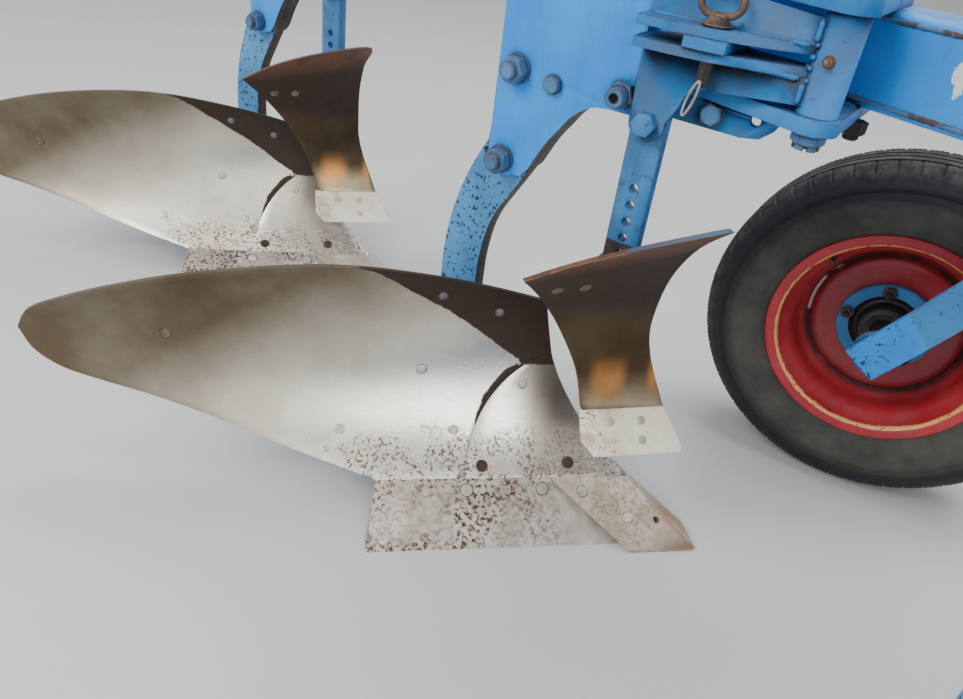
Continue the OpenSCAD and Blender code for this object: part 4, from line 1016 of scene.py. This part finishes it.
def consoles():
    dress("consoles", [BLUE_CONSOLE], 1.8)
    bm = new_bm()
    for s in (1, -1):
        z = AXIS_H + s * FORK_TOP
        bead(bm, [(-268, WEB_Y - 1, z), (-70, WEB_Y - 1, z)], 3.6, seed=1)
        bead(bm, [(-236, -27, z), (-120, -27, z)], 3.2, seed=2)
        bead(bm, [(-276, y, AXIS_H + s * 9) for y in (-108, WEB_Y + 8)], 3.0, seed=3)
        for a0, a1, up in ((150, 232, FORK_TOP + 1.5), (140, 225, FORK_TOP - 13)):
            bead(bm, [HINGE + polar(27.4, radians(a), s * up) for a in range(a0, a1, 6)], 3.4, seed=4)
        bead(bm, [(-64, -74, AXIS_H + s * 24), (-64, -74, AXIS_H + s * 49)], 4.2, seed=5)
        bead(bm, [(-62, -62, AXIS_H + s * 24), (-66, -60, AXIS_H + s * 40)], 3.2, seed=6)
        # the inner web's rear corner reaches up beside the hinge bracket
        slab(bm, WEB_LIP, *sorted((AXIS_H - s * 88, AXIS_H - s * 46)), Matrix.Identity(4))
    emit("console_welds", bm, [BLUE_CONSOLE], STATIONS, smooth=60)

    bm = new_bm()
    # grease nipple on its dark seat
    d = Vector((-0.1, -1, 0)).normalized()
    m = aim(HINGE + d * 25.6 + Vector((0, 0, 6)), d)
    spin(bm, [(8.5, -4), (8, 0.4), (6, 0.9), (0, 0.9)], 24, m, 3)
    hexhead(bm, moved(m, z=0.5), 9, 4, 1)
    spin(bm, NIPPLE, 16, m, 1)
    for s in (1, -1):
        # bolt of the inner web, mirrored above the fork
        z = AXIS_H - s * WEB_BOLT_Z
        seated(bm, aim((WEB_BOLT_X, -26, z), (0, -1, 0), 0.25), 34, 2.5, 27, 11, 2)
        hexhead(bm, aim((WEB_BOLT_X, -14, z), (0, 1, 0), 0.25), 27, 12, 2)
        # dark lug and bolt under and over the beam
        m = aim((-4, 66, AXIS_H - s * LUG_Z), (0, 0, -s), 0.4)
        hexhead(bm, m, 30, 18)
        spin(bm, [(11, 17), (11, 24), (9, 26), (0, 26)], 20, m)
        seated(bm, aim((-92, 40, AXIS_H - s * LUG_Z), (0, 0, -s), 0.1), 34, 3, 27, 14, sink=0)
    emit("console_fittings", bm, [GREASE, DULL_BOLT, BLUE_BOLT, RUST], STATIONS, smooth=35)


def width_pins():
    """Ring-topped pin through fork and tongue, with a linch pin through its lower end."""
    bm = new_bm()
    top, r = FORK_TOP, 12.3
    for prof, mat in (
            ([(0, top + 14), (9, top + 14), (r, top + 11), (r, 2 - top), (0, 2 - top)], 0),
            ([(r, 3 - top), (9, -top), (8.6, -50), (6.5, -53), (0, -53.5)], 2),
            ([(r, top), (17, top + 0.4), (19, top + 3), (16, top + 7), (r, top + 9)], 0)):
        spin(bm, prof, 28, Matrix.Translation(SET_PIN), mat)
    # oval chain link standing in the pin's head
    link = []
    for k in range(28):
        c, s = cos(2 * pi * k / 28), sin(2 * pi * k / 28)
        x = 17.5 * c + (9 if c > 0 else -9) * min(1, abs(c) * 3)
        link.append(SET_PIN + Vector((x, 1.5 * s - 1, top + 29 + 15.5 * s)))
    tube(bm, link, 4.8, 12, 0, True)
    # linch pin: shank across the stub, with its spring loop hanging in front
    low = SET_PIN - Vector((0, 0, 46))
    tube(bm, [low + Vector((0, y, 0)) for y in (-13, 0, 12)], 2.6, 12, 1)
    turns = [2 * pi * k / 20 for k in range(20)]
    loop = [low + Vector((4.5 * cos(a) + 5.5 * sin(a) - 5.5, -13.5, 23 * sin(a) - 21)) for a in turns]
    tube(bm, loop, 1.9, 8, 1, True)
    emit("set_pins", bm, [RING_RUST, WIRE, IRON], STATIONS, "width_pins", 50)


def hinge_pins():
    bm = new_bm()
    for s in (1, -1):
        m = aim(HINGE + Vector((0, 0, s * HINGE_TOP)), (0, 0, s), 0.35)
        seated(bm, m, 44, 4.8, 38, 12, sink=0)
        # castle of the nut, six teeth round the pin
        for k in range(6):
            tooth = [polar(r, k * pi / 3 + b)[:2] for r, b in
                     ((17.4, 0.14), (17.4, 0.52), (17.4, 0.91), (12.2, 0.91), (12.2, 0.14))]
            slab(bm, tooth, 16, 23, m)
        spin(bm, [(0, 21.5), (10, 21.5), (11.8, 20), (11.8, 16)], 24, m)
        tube(bm, [m @ Vector((x, 0, 19)) for x in (-19, 19)], 2.0, 8, 1)
    shank = [(0, -HINGE_TOP), (15, -HINGE_TOP), (15, HINGE_TOP), (0, HINGE_TOP)]
    spin(bm, shank, 32, Matrix.Translation(HINGE))
    emit("hinge_pins_dressed", bm, [BLUE_BOLT, BOLT], STATIONS, "hinge_pins", 35)


consoles()
width_pins()
hinge_pins()
dress("hinge_brackets", [BLUE_CONSOLE], 2.0)

# ---- frame
SIN_F, COS_F = sin(FRAME_ANGLE), cos(FRAME_ANGLE)
BEAM_HALF = 60
BEAM_V = HINGE.x * SIN_F + HINGE.y * COS_F + 105 + BEAM_HALF
BEAM_REAR = HINGE.x * COS_F - HINGE.y * SIN_F - (FURROWS - 2) * PITCH_X / COS_F - 240
HEAD_X = 1150
BEAM_CUT = HEAD_X - 35 - 0.3
BEAM_STEPS = 40


def on_beam(u, v, w):
    """Body-frame point at u along the beam, v across and w up from its middle line."""
    v += BEAM_V
    return Vector((u * COS_F + v * SIN_F, -u * SIN_F + v * COS_F, AXIS_H + w))


def beam_end(v, w):
    return on_beam((BEAM_CUT - (v + BEAM_V) * SIN_F) / COS_F, v, w)


def rounded(half, r, n=5):
    """Square with round corners."""
    pts = []
    for q, (sx, sy) in enumerate(((1, 1), (-1, 1), (-1, -1), (1, -1))):
        for k in range(n + 1):
            x, y, _ = polar(r, pi / 2 * (q + k / n))
            pts.append((sx * (half - r) + x, sy * (half - r) + y))
    return pts


def main_beam():
    bm = new_bm()
    outer, inner = rounded(BEAM_HALF, 9), rounded(BEAM_HALF - 10, 4)
    tail, tail_bore = ([bm.verts.new(on_beam(BEAM_REAR, *p)) for p in ring] for ring in (outer, inner))
    head, head_bore = ([bm.verts.new(beam_end(*p)) for p in ring] for ring in (outer, inner))
    rows = [tail]
    for k in range(1, BEAM_STEPS):
        rows.append([bm.verts.new(a.co.lerp(b.co, k / BEAM_STEPS)) for a, b in zip(tail, head)])
    rows += [head, head_bore, tail_bore, tail]
    for a, b in zip(rows, rows[1:]):
        strip(bm, a, b)
    emit("beam_tube", bm, [BLUE_BEAM], ONCE, "main_beam", 30)

    bm = new_bm()
    # seam welds along the near edges
    for s in (1, -1):
        along = range(int(BEAM_REAR) + 20, 1160, 40)
        bead(bm, [on_beam(u, 0.8 - BEAM_HALF, s * 50) for u in along], 3.6, 0, 6, 7)
    # plug in the open rear end
    m = aim(on_beam(BEAM_REAR + 14, 0, 0), (-COS_F, SIN_F, 0))
    spin(bm, [(0, 0), (30, 0), (34, -4)], 24, m, 1)
    slab(bm, [(x * .985, y * .985) for x, y in rounded(BEAM_HALF - 10, 5)], -14, 10, m, 1)
    emit("beam_welds", bm, [WELD, BLUE_WORN], smooth=60)


main_beam()
dress("head_plate", [BLUE], 3.0)
dress("turn_shaft", [IRON], 2.5)

# ---- depth wheel
HUB_AT = aim(WHEEL, (0, -1, 0))
TICKS = 232
# half of the tyre's outside from bead to middle, as (radius, height), and its inside
TYRE_HALF = [
    (192, 62), (194.5, 68), (201, 71.5), (206, 77), (211, 84), (216, 85.2), (220, 89.5), (232, 92.4),
    (246, 94.4), (258, 95), (268, 94.6), (271, 93.0), (274, 94.0), (281, 92.6), (284, 90.4), (287, 91.4),
    (293, 89.6), (296, 87.4), (303, 83.6), (311, 77.6), (318, 70), (323.5, 62), (326.5, 55), (327.6, 46),
    (321.5, 44.6), (321.5, 39.4), (328, 38), (328, 17), (321.5, 15.6), (321.5, 10.4), (328, 9)]
TYRE_BORE = [(198, -56), (288, -75), (302, -51), (302, 51), (288, 75), (198, 56)]
SHOULDER = range(17, 24)
# rim section: bead seats first, then the disc, as (radius, height)
RIM_PROFILE = [
    (205.5, 70), (199.5, 73), (191.5, 70), (189.5, 54), (165, 30), (165, -34), (189.5, -54), (191.5, -70),
    (199.5, -73), (205.5, -70), (205.5, -75), (203, -78.2), (196, -78.6), (187, -76.5), (183, -72),
    (181, -56), (160, -38), (158, -22), (150, -17), (145, -24), (138, -24), (128, -14), (112, -12),
    (52, -12), (52, -4), (110, -4), (121, -2.5), (129, -4), (135, -9), (138.5, -15), (142, -17),
    (145.5, -15), (149, -8), (155, -2), (159, 6), (160.5, 18), (163, 32), (169, 42), (176, 52),
    (180, 62), (181.5, 69), (183, 73.5), (187, 76.6), (192, 78.2), (198, 78.8), (203, 78.2), (205.2, 75.5)]
HUB_PARTS = (
    ([(58, -3.8), (86, -3.8), (86, 6.5), (84.5, 8), (66, 8), (63, 7)], 72, 0),
    ([(63, 7), (60, 3), (55, 1), (50, 3), (47.5, 12), (46.5, 26), (44, 29), (40, 30)], 60, 1),
    ([(40, 30), (37, 30.5), (35, 27), (30, 26), (23.5, 26)], 60, 2),
    ([(0, -60), (30, -59.5), (40, -56), (44.5, -48), (45, -36), (49, -34), (49, -26), (47, -24),
      (47, -12.5)], 60, 0))
VALVE = [(5, -8), (5, 14), (3.4, 15), (3.4, 26), (4.4, 26.5), (4.4, 33), (3, 34), (0, 34)]
WHEEL_NUTS, NUT_CIRCLE_R = 5, 72


def tyre():
    bm = new_bm()
    n, rows = 2 * TICKS, len(TYRE_HALF)
    spin(bm, TYRE_HALF + [(r, -h) for r, h in reversed(TYRE_HALF)] + TYRE_BORE, n, HUB_AT, 0, True)
    bm.verts.ensure_lookup_table()
    for row in SHOULDER:
        for j in (row, 2 * rows - 1 - row):
            for k in range(0, n, 2):
                # fine ticks, and every fourth of them a deep notch on the shoulder's edge
                deep = 5.0 if row >= 20 and k % 8 == 0 else 1.5
                v = bm.verts[j * n + k]
                d = v.co - WHEEL
                inward = Vector((d.x, 0, d.z)).normalized() * deep * 0.6
                v.co -= inward + Vector((0, d.y / abs(d.y), 0)) * deep * 0.5
    emit("tyre_rubber", bm, [TYRE], ONCE, "tyre", 38, "wheel")


def rim_and_hub():
    bm = new_bm()
    spin(bm, RIM_PROFILE, 120, HUB_AT, 0, True)
    spin(bm, VALVE, 14, moved(HUB_AT @ Matrix.Rotation(2.4, 4, "Z"), 171, 0, 40), 1)
    emit("rim_disc", bm, [RIM, IRON], ONCE, "wheel_rim", 40, "wheel")

    bm = new_bm()
    for prof, n, mat in HUB_PARTS:
        spin(bm, prof, n, HUB_AT, mat)
    for k in range(WHEEL_NUTS):
        a = radians(30 + 360 / WHEEL_NUTS * k)
        # angles are read from ahead towards up, seen from the right
        p = WHEEL + Vector((NUT_CIRCLE_R * cos(a), 0, NUT_CIRCLE_R * sin(a)))
        m = aim(p - Vector((0, 8, 0)), (0, -1, 0), a)
        seated(bm, m, 25, 2, 19, 9, 2, 0.2)
        thread(bm, m, 12, 10, 17, 1)
        hexhead(bm, aim(p + Vector((0, 12.2, 0)), (0, 1, 0), a), 19, 8, 2)
    emit("hub_flange", bm, [HUB_BLUE, GREASE, IRON], ONCE, "wheel_hub", 38, "wheel")
    dress("stub_axle", [GREASE], 2.0)


ARM_Y = WHEEL.y - 95 - 14 - 36
AXLE, KNEE, PIVOT = Vector((146, 328)), Vector((265, 510)), Vector((700, 835))
ARM_BEND, ARM_WAY = Vector((178, 0, 413)), Vector((0.70, 0, 0.714)).normalized()
ARM_CRANK = 10


def swing_arm():
    a, b = (KNEE - AXLE).normalized(), (PIVOT - KNEE).normalized()

    def plate(y0, y1, half, tail):
        """Bent bar in the arm's plane, of width 2 * half, with its tail past the axle."""
        na, nb = Vector((-a.y, a.x)) * half, Vector((-b.y, b.x)) * half
        mitre = (na + nb) / (1 + a.dot(b))
        low = AXLE - a * tail
        pts = [low - na, KNEE - mitre, PIVOT - nb, PIVOT + nb, KNEE + mitre, low + na]
        bm = new_bm()
        slab(bm, pts, -y1, -y0, Matrix(((1, 0, 0, 0), (0, 0, -1, 0), (0, 1, 0, 0), (0, 0, 0, 1))))
        bmesh.ops.recalc_face_normals(bm, faces=bm.faces)
        return bm

    # the front plate is cranked away from the wheel past its bend
    front = plate(ARM_Y, ARM_Y + 10, 35, 32)
    for d in (-3, 3, 80, 95):
        bmesh.ops.bisect_plane(front, geom=front.verts[:] + front.edges[:] + front.faces[:], dist=0.001,
                               plane_co=ARM_BEND + ARM_WAY * d, plane_no=ARM_WAY)
    # faces past the bend take the darker copy of the blue, painted shade
    for f in front.faces:
        f.material_index = int((f.calc_center_median() - ARM_BEND).dot(ARM_WAY) > 3.5)
    for v in front.verts:
        v.co.y += ARM_CRANK * clamp01((v.co - ARM_BEND).dot(ARM_WAY) / 88)
    front = bevelled(front, 1.4, 2, 25)
    emit("arm_plate", front, [ARM_BLUE, ARM_SHADED], ONCE, "swing_arm", 30, "arm")
    core = bevelled(plate(ARM_Y + 21, ARM_Y + 36, 24, 20), 3, 3, 25)
    emit("arm_core", core, [BLUE_WORN], body="arm")
    bm = new_bm()
    foot, top = Vector((AXLE.x, ARM_Y, AXLE.y)), Vector((PIVOT.x, ARM_Y, PIVOT.y))
    spin(bm, [(0, 9), (39, 9), (39, 28), (36, 36), (23, 36)], 48, aim(foot, (0, 1, 0)))
    ring = [(22.7, 0), (44, 0), (47.5, 2.5), (47.5, 33.5), (45, 36), (22.7, 36)]
    spin(bm, ring, 64, aim(top, (0, 1, 0)))
    bead(bm, arc(top, 48, range(150, 294, 6), 19), 3.0, seed=3)
    emit("arm_bosses", bm, [BLUE_WORN], smooth=45, body="arm")
    dress("wheel_bracket", [BLUE_WORN], 2.5)
    bm = new_bm()
    hexhead(bm, aim(top + Vector((0, 36 + 18, 0)), (0, 1, 0), 0.2), 36, 14)
    seated(bm, aim(top - Vector((0, 7, 0)), (0, -1, 0)), 66, 3, 36, 13)
    emit("arm_pin_nuts", bm, [IRON], smooth=35)


tyre()
rim_and_hub()
swing_arm()

# ---- headstock
for part, mats, width, slot in (
        ("tower", [BLUE], 3.0, "frame_blue"), ("bearing_housing", [BLUE_WORN], 2.5, "cast"),
        ("lower_link_bar", [IRON], 2.0, "cast"), ("top_link_lugs", [BLUE], 2.0, "frame_blue"),
        ("stand_guide", [BLUE_WORN], 2.0, "frame_blue"), ("stand_leg", [RUST], 1.6, "dull_steel"),
        ("cylinder_barrel", [BLUE_WORN], 2.0, "frame_blue"),
        ("cylinder_rod", [CHROME], 1.0, "rod_chrome")):
    dress(part, mats, width)

LINK_X, LINK_Z, LINK_HALF = 1570.0, 580, 412.5
PLATE_HALF = 200
# x, z, washer, width across, head height, roll: bolts of the tower's side plates
TOWER_BOLTS = [(x, AXIS_H + dz, 38, 30, 13, 0.3) for x in (1235, 1395) for dz in (-62, 62)]
TOWER_BOLTS += [(1475, z, 32, 24, 11, 0.1) for z in (1050, 1180)]
STAND_PIN = Vector((1370, AXIS_Y + 180 + 20 + 12 + 60 + 11, 740))
CRANK_R, RAM_H, RAM_X = 110, 280, 1475 + 25 + 14 + 13


def round_shaft(x, r, deg, facing):
    """Place at x that faces along x, on a circle about the turning axis."""
    return aim((x, AXIS_Y + r * cos(radians(deg)), AXIS_H + r * sin(radians(deg))), (facing, 0, 0), 0.2)


def headstock_fittings():
    """Bolts, nuts, weld beads and the stand's lock pin."""
    bm = new_bm()
    for side in (-1, 1):
        face = AXIS_Y + side * PLATE_HALF
        for x, z, d, across, h, roll in TOWER_BOLTS:
            seated(bm, aim((x, face, z), (0, side, 0), roll), d, 3, across, h)
        bead(bm, arc((LINK_X, face + side * 0.5, LINK_Z), 31, range(0, 361, 9)), 3.6, 1, seed=side)
        # linch pin's head, and the pressed collar at the pin's root
        shoulder = AXIS_Y + side * LINK_HALF
        m = aim((LINK_X, shoulder + side * 52, LINK_Z), (1, 0, 0))
        spin(bm, [(0, 13.2), (6, 13.4), (6, 17), (4, 19), (0, 19)], 16, m)
        m = aim((LINK_X, shoulder, LINK_Z), (0, side, 0))
        spin(bm, [(14, 0), (21, 0), (20, 4), (14, 5)], 32, m)
    for q in range(8):
        hexhead(bm, round_shaft(1209.5, 64, 22.5 + 45 * q, -1), 16, 7)
    emit("headstock_bolts", bm, [BLUE_BOLT, BLUE_WORN], smooth=38, body="headstock")

    bm = new_bm()
    # lock pin of the stand: head and ring outside its guide
    m = aim(STAND_PIN - Vector((0, 0.5, 0)), (0, 1, 0))
    washer(bm, m, 34, 3)
    spin(bm, [(9, 3), (9, 14), (7, 16), (0, 16)], 20, m)
    tube(bm, arc(STAND_PIN - Vector((0, 0, 18)), 20, range(0, 360, 15), 10), 2.6, 8, 0, True)
    emit("stand_pin", bm, [WIRE], smooth=45, body="headstock")

    bm = new_bm()
    for deg in (-35, 0, 35, 145, 180, 215):
        seated(bm, round_shaft(HEAD_X + 0.3 - 35.5, 72, deg, -1), 32, 3, 24, 12)
        hexhead(bm, round_shaft(HEAD_X + 0.3 + 14, 82, deg, 1), 16, 8)
    for s in (1, -1):
        bead(bm, [(1114.5, beam_end(v, 0).y, AXIS_H + s * 59) for v in (-58, 58)], 5.0, 1, 5, s)
    for v in (-60.5, 60.5):
        bead(bm, [beam_end(v, w) - Vector((1.5, 0, 0)) for w in (-56, 56)], 5.0, 1, 5, v)
    emit("head_plate_bolts", bm, [BLUE_BOLT, BLUE], smooth=38)


def cylinder_ports():
    bm = new_bm()
    lean = math.atan(CRANK_R / RAM_H)
    top = Vector((RAM_X, AXIS_Y, AXIS_H + RAM_H))
    way, side = Vector((0, -sin(lean), -cos(lean))), Vector((0, -cos(lean), sin(lean)))
    for along in (60, 190):
        m = aim(top + way * along + side * 33, side, 0.2)
        spin(bm, [(13, -3), (13, 6), (11, 8), (7, 8), (7, 6)], 24, m)
        hexhead(bm, moved(m, z=6), 17, 9, 1)
    for along in (32, 198):
        spin(bm, [(33, -2), (37, 0), (37, 6), (33, 8)], 48, aim(top + way * along, way))
    emit("cylinder_ports", bm, [BLUE_WORN, BOLT], smooth=38, body="cylinder")


def body_welds():
    """Weld beads between bracket plates and beam, and along the tongues, one station."""
    bm = new_bm()
    for s in (1, -1):
        for u0, u1, v, w, r, seed in ((-228, -24, -60.5, 60.2, 3.8, 0), (-245, -64, 60.5, 60.2, 3.8, 3),
                                      (-252, -176, -60.8, 7, 3.4, 6)):
            bead(bm, [on_beam(u, v, s * w) for u in (u0, u1)], r, 0, 5, s + seed)
    emit("bracket_welds", bm, [BLUE_CONSOLE], STATIONS, smooth=60)


headstock_fittings()
cylinder_ports()
body_welds()

# ---- camera, light and floor
# Camera axes, and its place in mm, worked out from two bodies that stand one pitch apart.
CAM_RIGHT = Vector((0.84299617, 0.52540028, 0.11537766))
CAM_UP = Vector((-0.36817515, 0.40717767, 0.8358549))
CAM_BACK = Vector((0.39217919, -0.74710166, 0.53668854))
CAM_AT = (97.7, -1121.2, 1004.7)
LENS, FLOOR_HALF = 29.175, 60.0
AMBIENT, SEEN_SKY = 0.55, 1.15
# name, place, target, side, power, colour
LIGHTS = (("key", (-2.6, -4.2, 4.6), (0, 0, 0.5), 3.2, 295, (1.0, 0.98, 0.95)),
          ("fill", (4.4, -3.4, 3.0), (0, 0, 0.6), 3.0, 125, (0.95, 0.98, 1.0)),
          ("top", (0.3, 1.2, 5.2), (0, 0, 0.3), 4.0, 225, (1.0, 1.0, 1.0)))


def add(name, data):
    ob = bpy.data.objects.new(name, data)
    bpy.context.scene.collection.objects.link(ob)
    return ob


def camera():
    data = bpy.data.cameras.new("camera")
    data.sensor_fit, data.sensor_width = "HORIZONTAL", 36.0
    data.lens, data.clip_start = LENS, 0.01
    cam = add("camera", data)
    m = Matrix((CAM_RIGHT, CAM_UP, CAM_BACK)).transposed().to_4x4()
    m.translation = mm(*CAM_AT)
    cam.matrix_world = m
    bpy.context.scene.camera = cam


def ground():
    mesh, s = bpy.data.meshes.new("floor"), FLOOR_HALF
    mesh.from_pydata([(-s, -s, 0), (s, -s, 0), (s, s, 0), (-s, s, 0)], [], [(0, 1, 2, 3)])
    pale = Mat("floor_pale", 0.85)
    pale.color = pale.mix(pale.noise(2.0, 3), (206, 206, 204), (214, 214, 212))
    mesh.materials.append(pale.done())
    add("floor", mesh)


def sky():
    """Soft light all round, and a lighter backdrop where the camera or a reflection sees it."""
    world = bpy.data.worlds.new("world")
    bpy.context.scene.world = world
    world.use_nodes = True
    nodes, links = world.node_tree.nodes, world.node_tree.links
    light, backdrop = nodes["Background"], nodes.new("ShaderNodeBackground")
    for node, color, strength in ((light, (0.93, 0.96, 1.0, 1.0), AMBIENT),
                                  (backdrop, (0.86, 0.87, 0.88, 1.0), SEEN_SKY)):
        node.inputs["Color"].default_value = color
        node.inputs["Strength"].default_value = strength
    rays, choose = nodes.new("ShaderNodeLightPath"), nodes.new("ShaderNodeMixShader")
    seen = rays.outputs["Is Camera Ray"]
    for ray in ("Is Glossy Ray", "Is Transmission Ray"):
        either = nodes.new("ShaderNodeMath")
        either.operation = "MAXIMUM"
        links.new(seen, either.inputs[0])
        links.new(rays.outputs[ray], either.inputs[1])
        seen = either.outputs[0]
    for k, socket in enumerate((seen, light.outputs[0], backdrop.outputs[0])):
        links.new(socket, choose.inputs[k])
    links.new(choose.outputs[0], nodes["World Output"].inputs["Surface"])


def lights():
    for name, place, target, side, power, color in LIGHTS:
        lamp = bpy.data.lights.new(name, "AREA")
        lamp.shape, lamp.size, lamp.size_y = "RECTANGLE", side, side
        lamp.energy, lamp.color = power, color
        ob = add(name, lamp)
        ob.location = place
        ob.rotation_euler = (Vector(target) - Vector(place)).to_track_quat("-Z", "Y").to_euler()


camera()
ground()
sky()
lights()
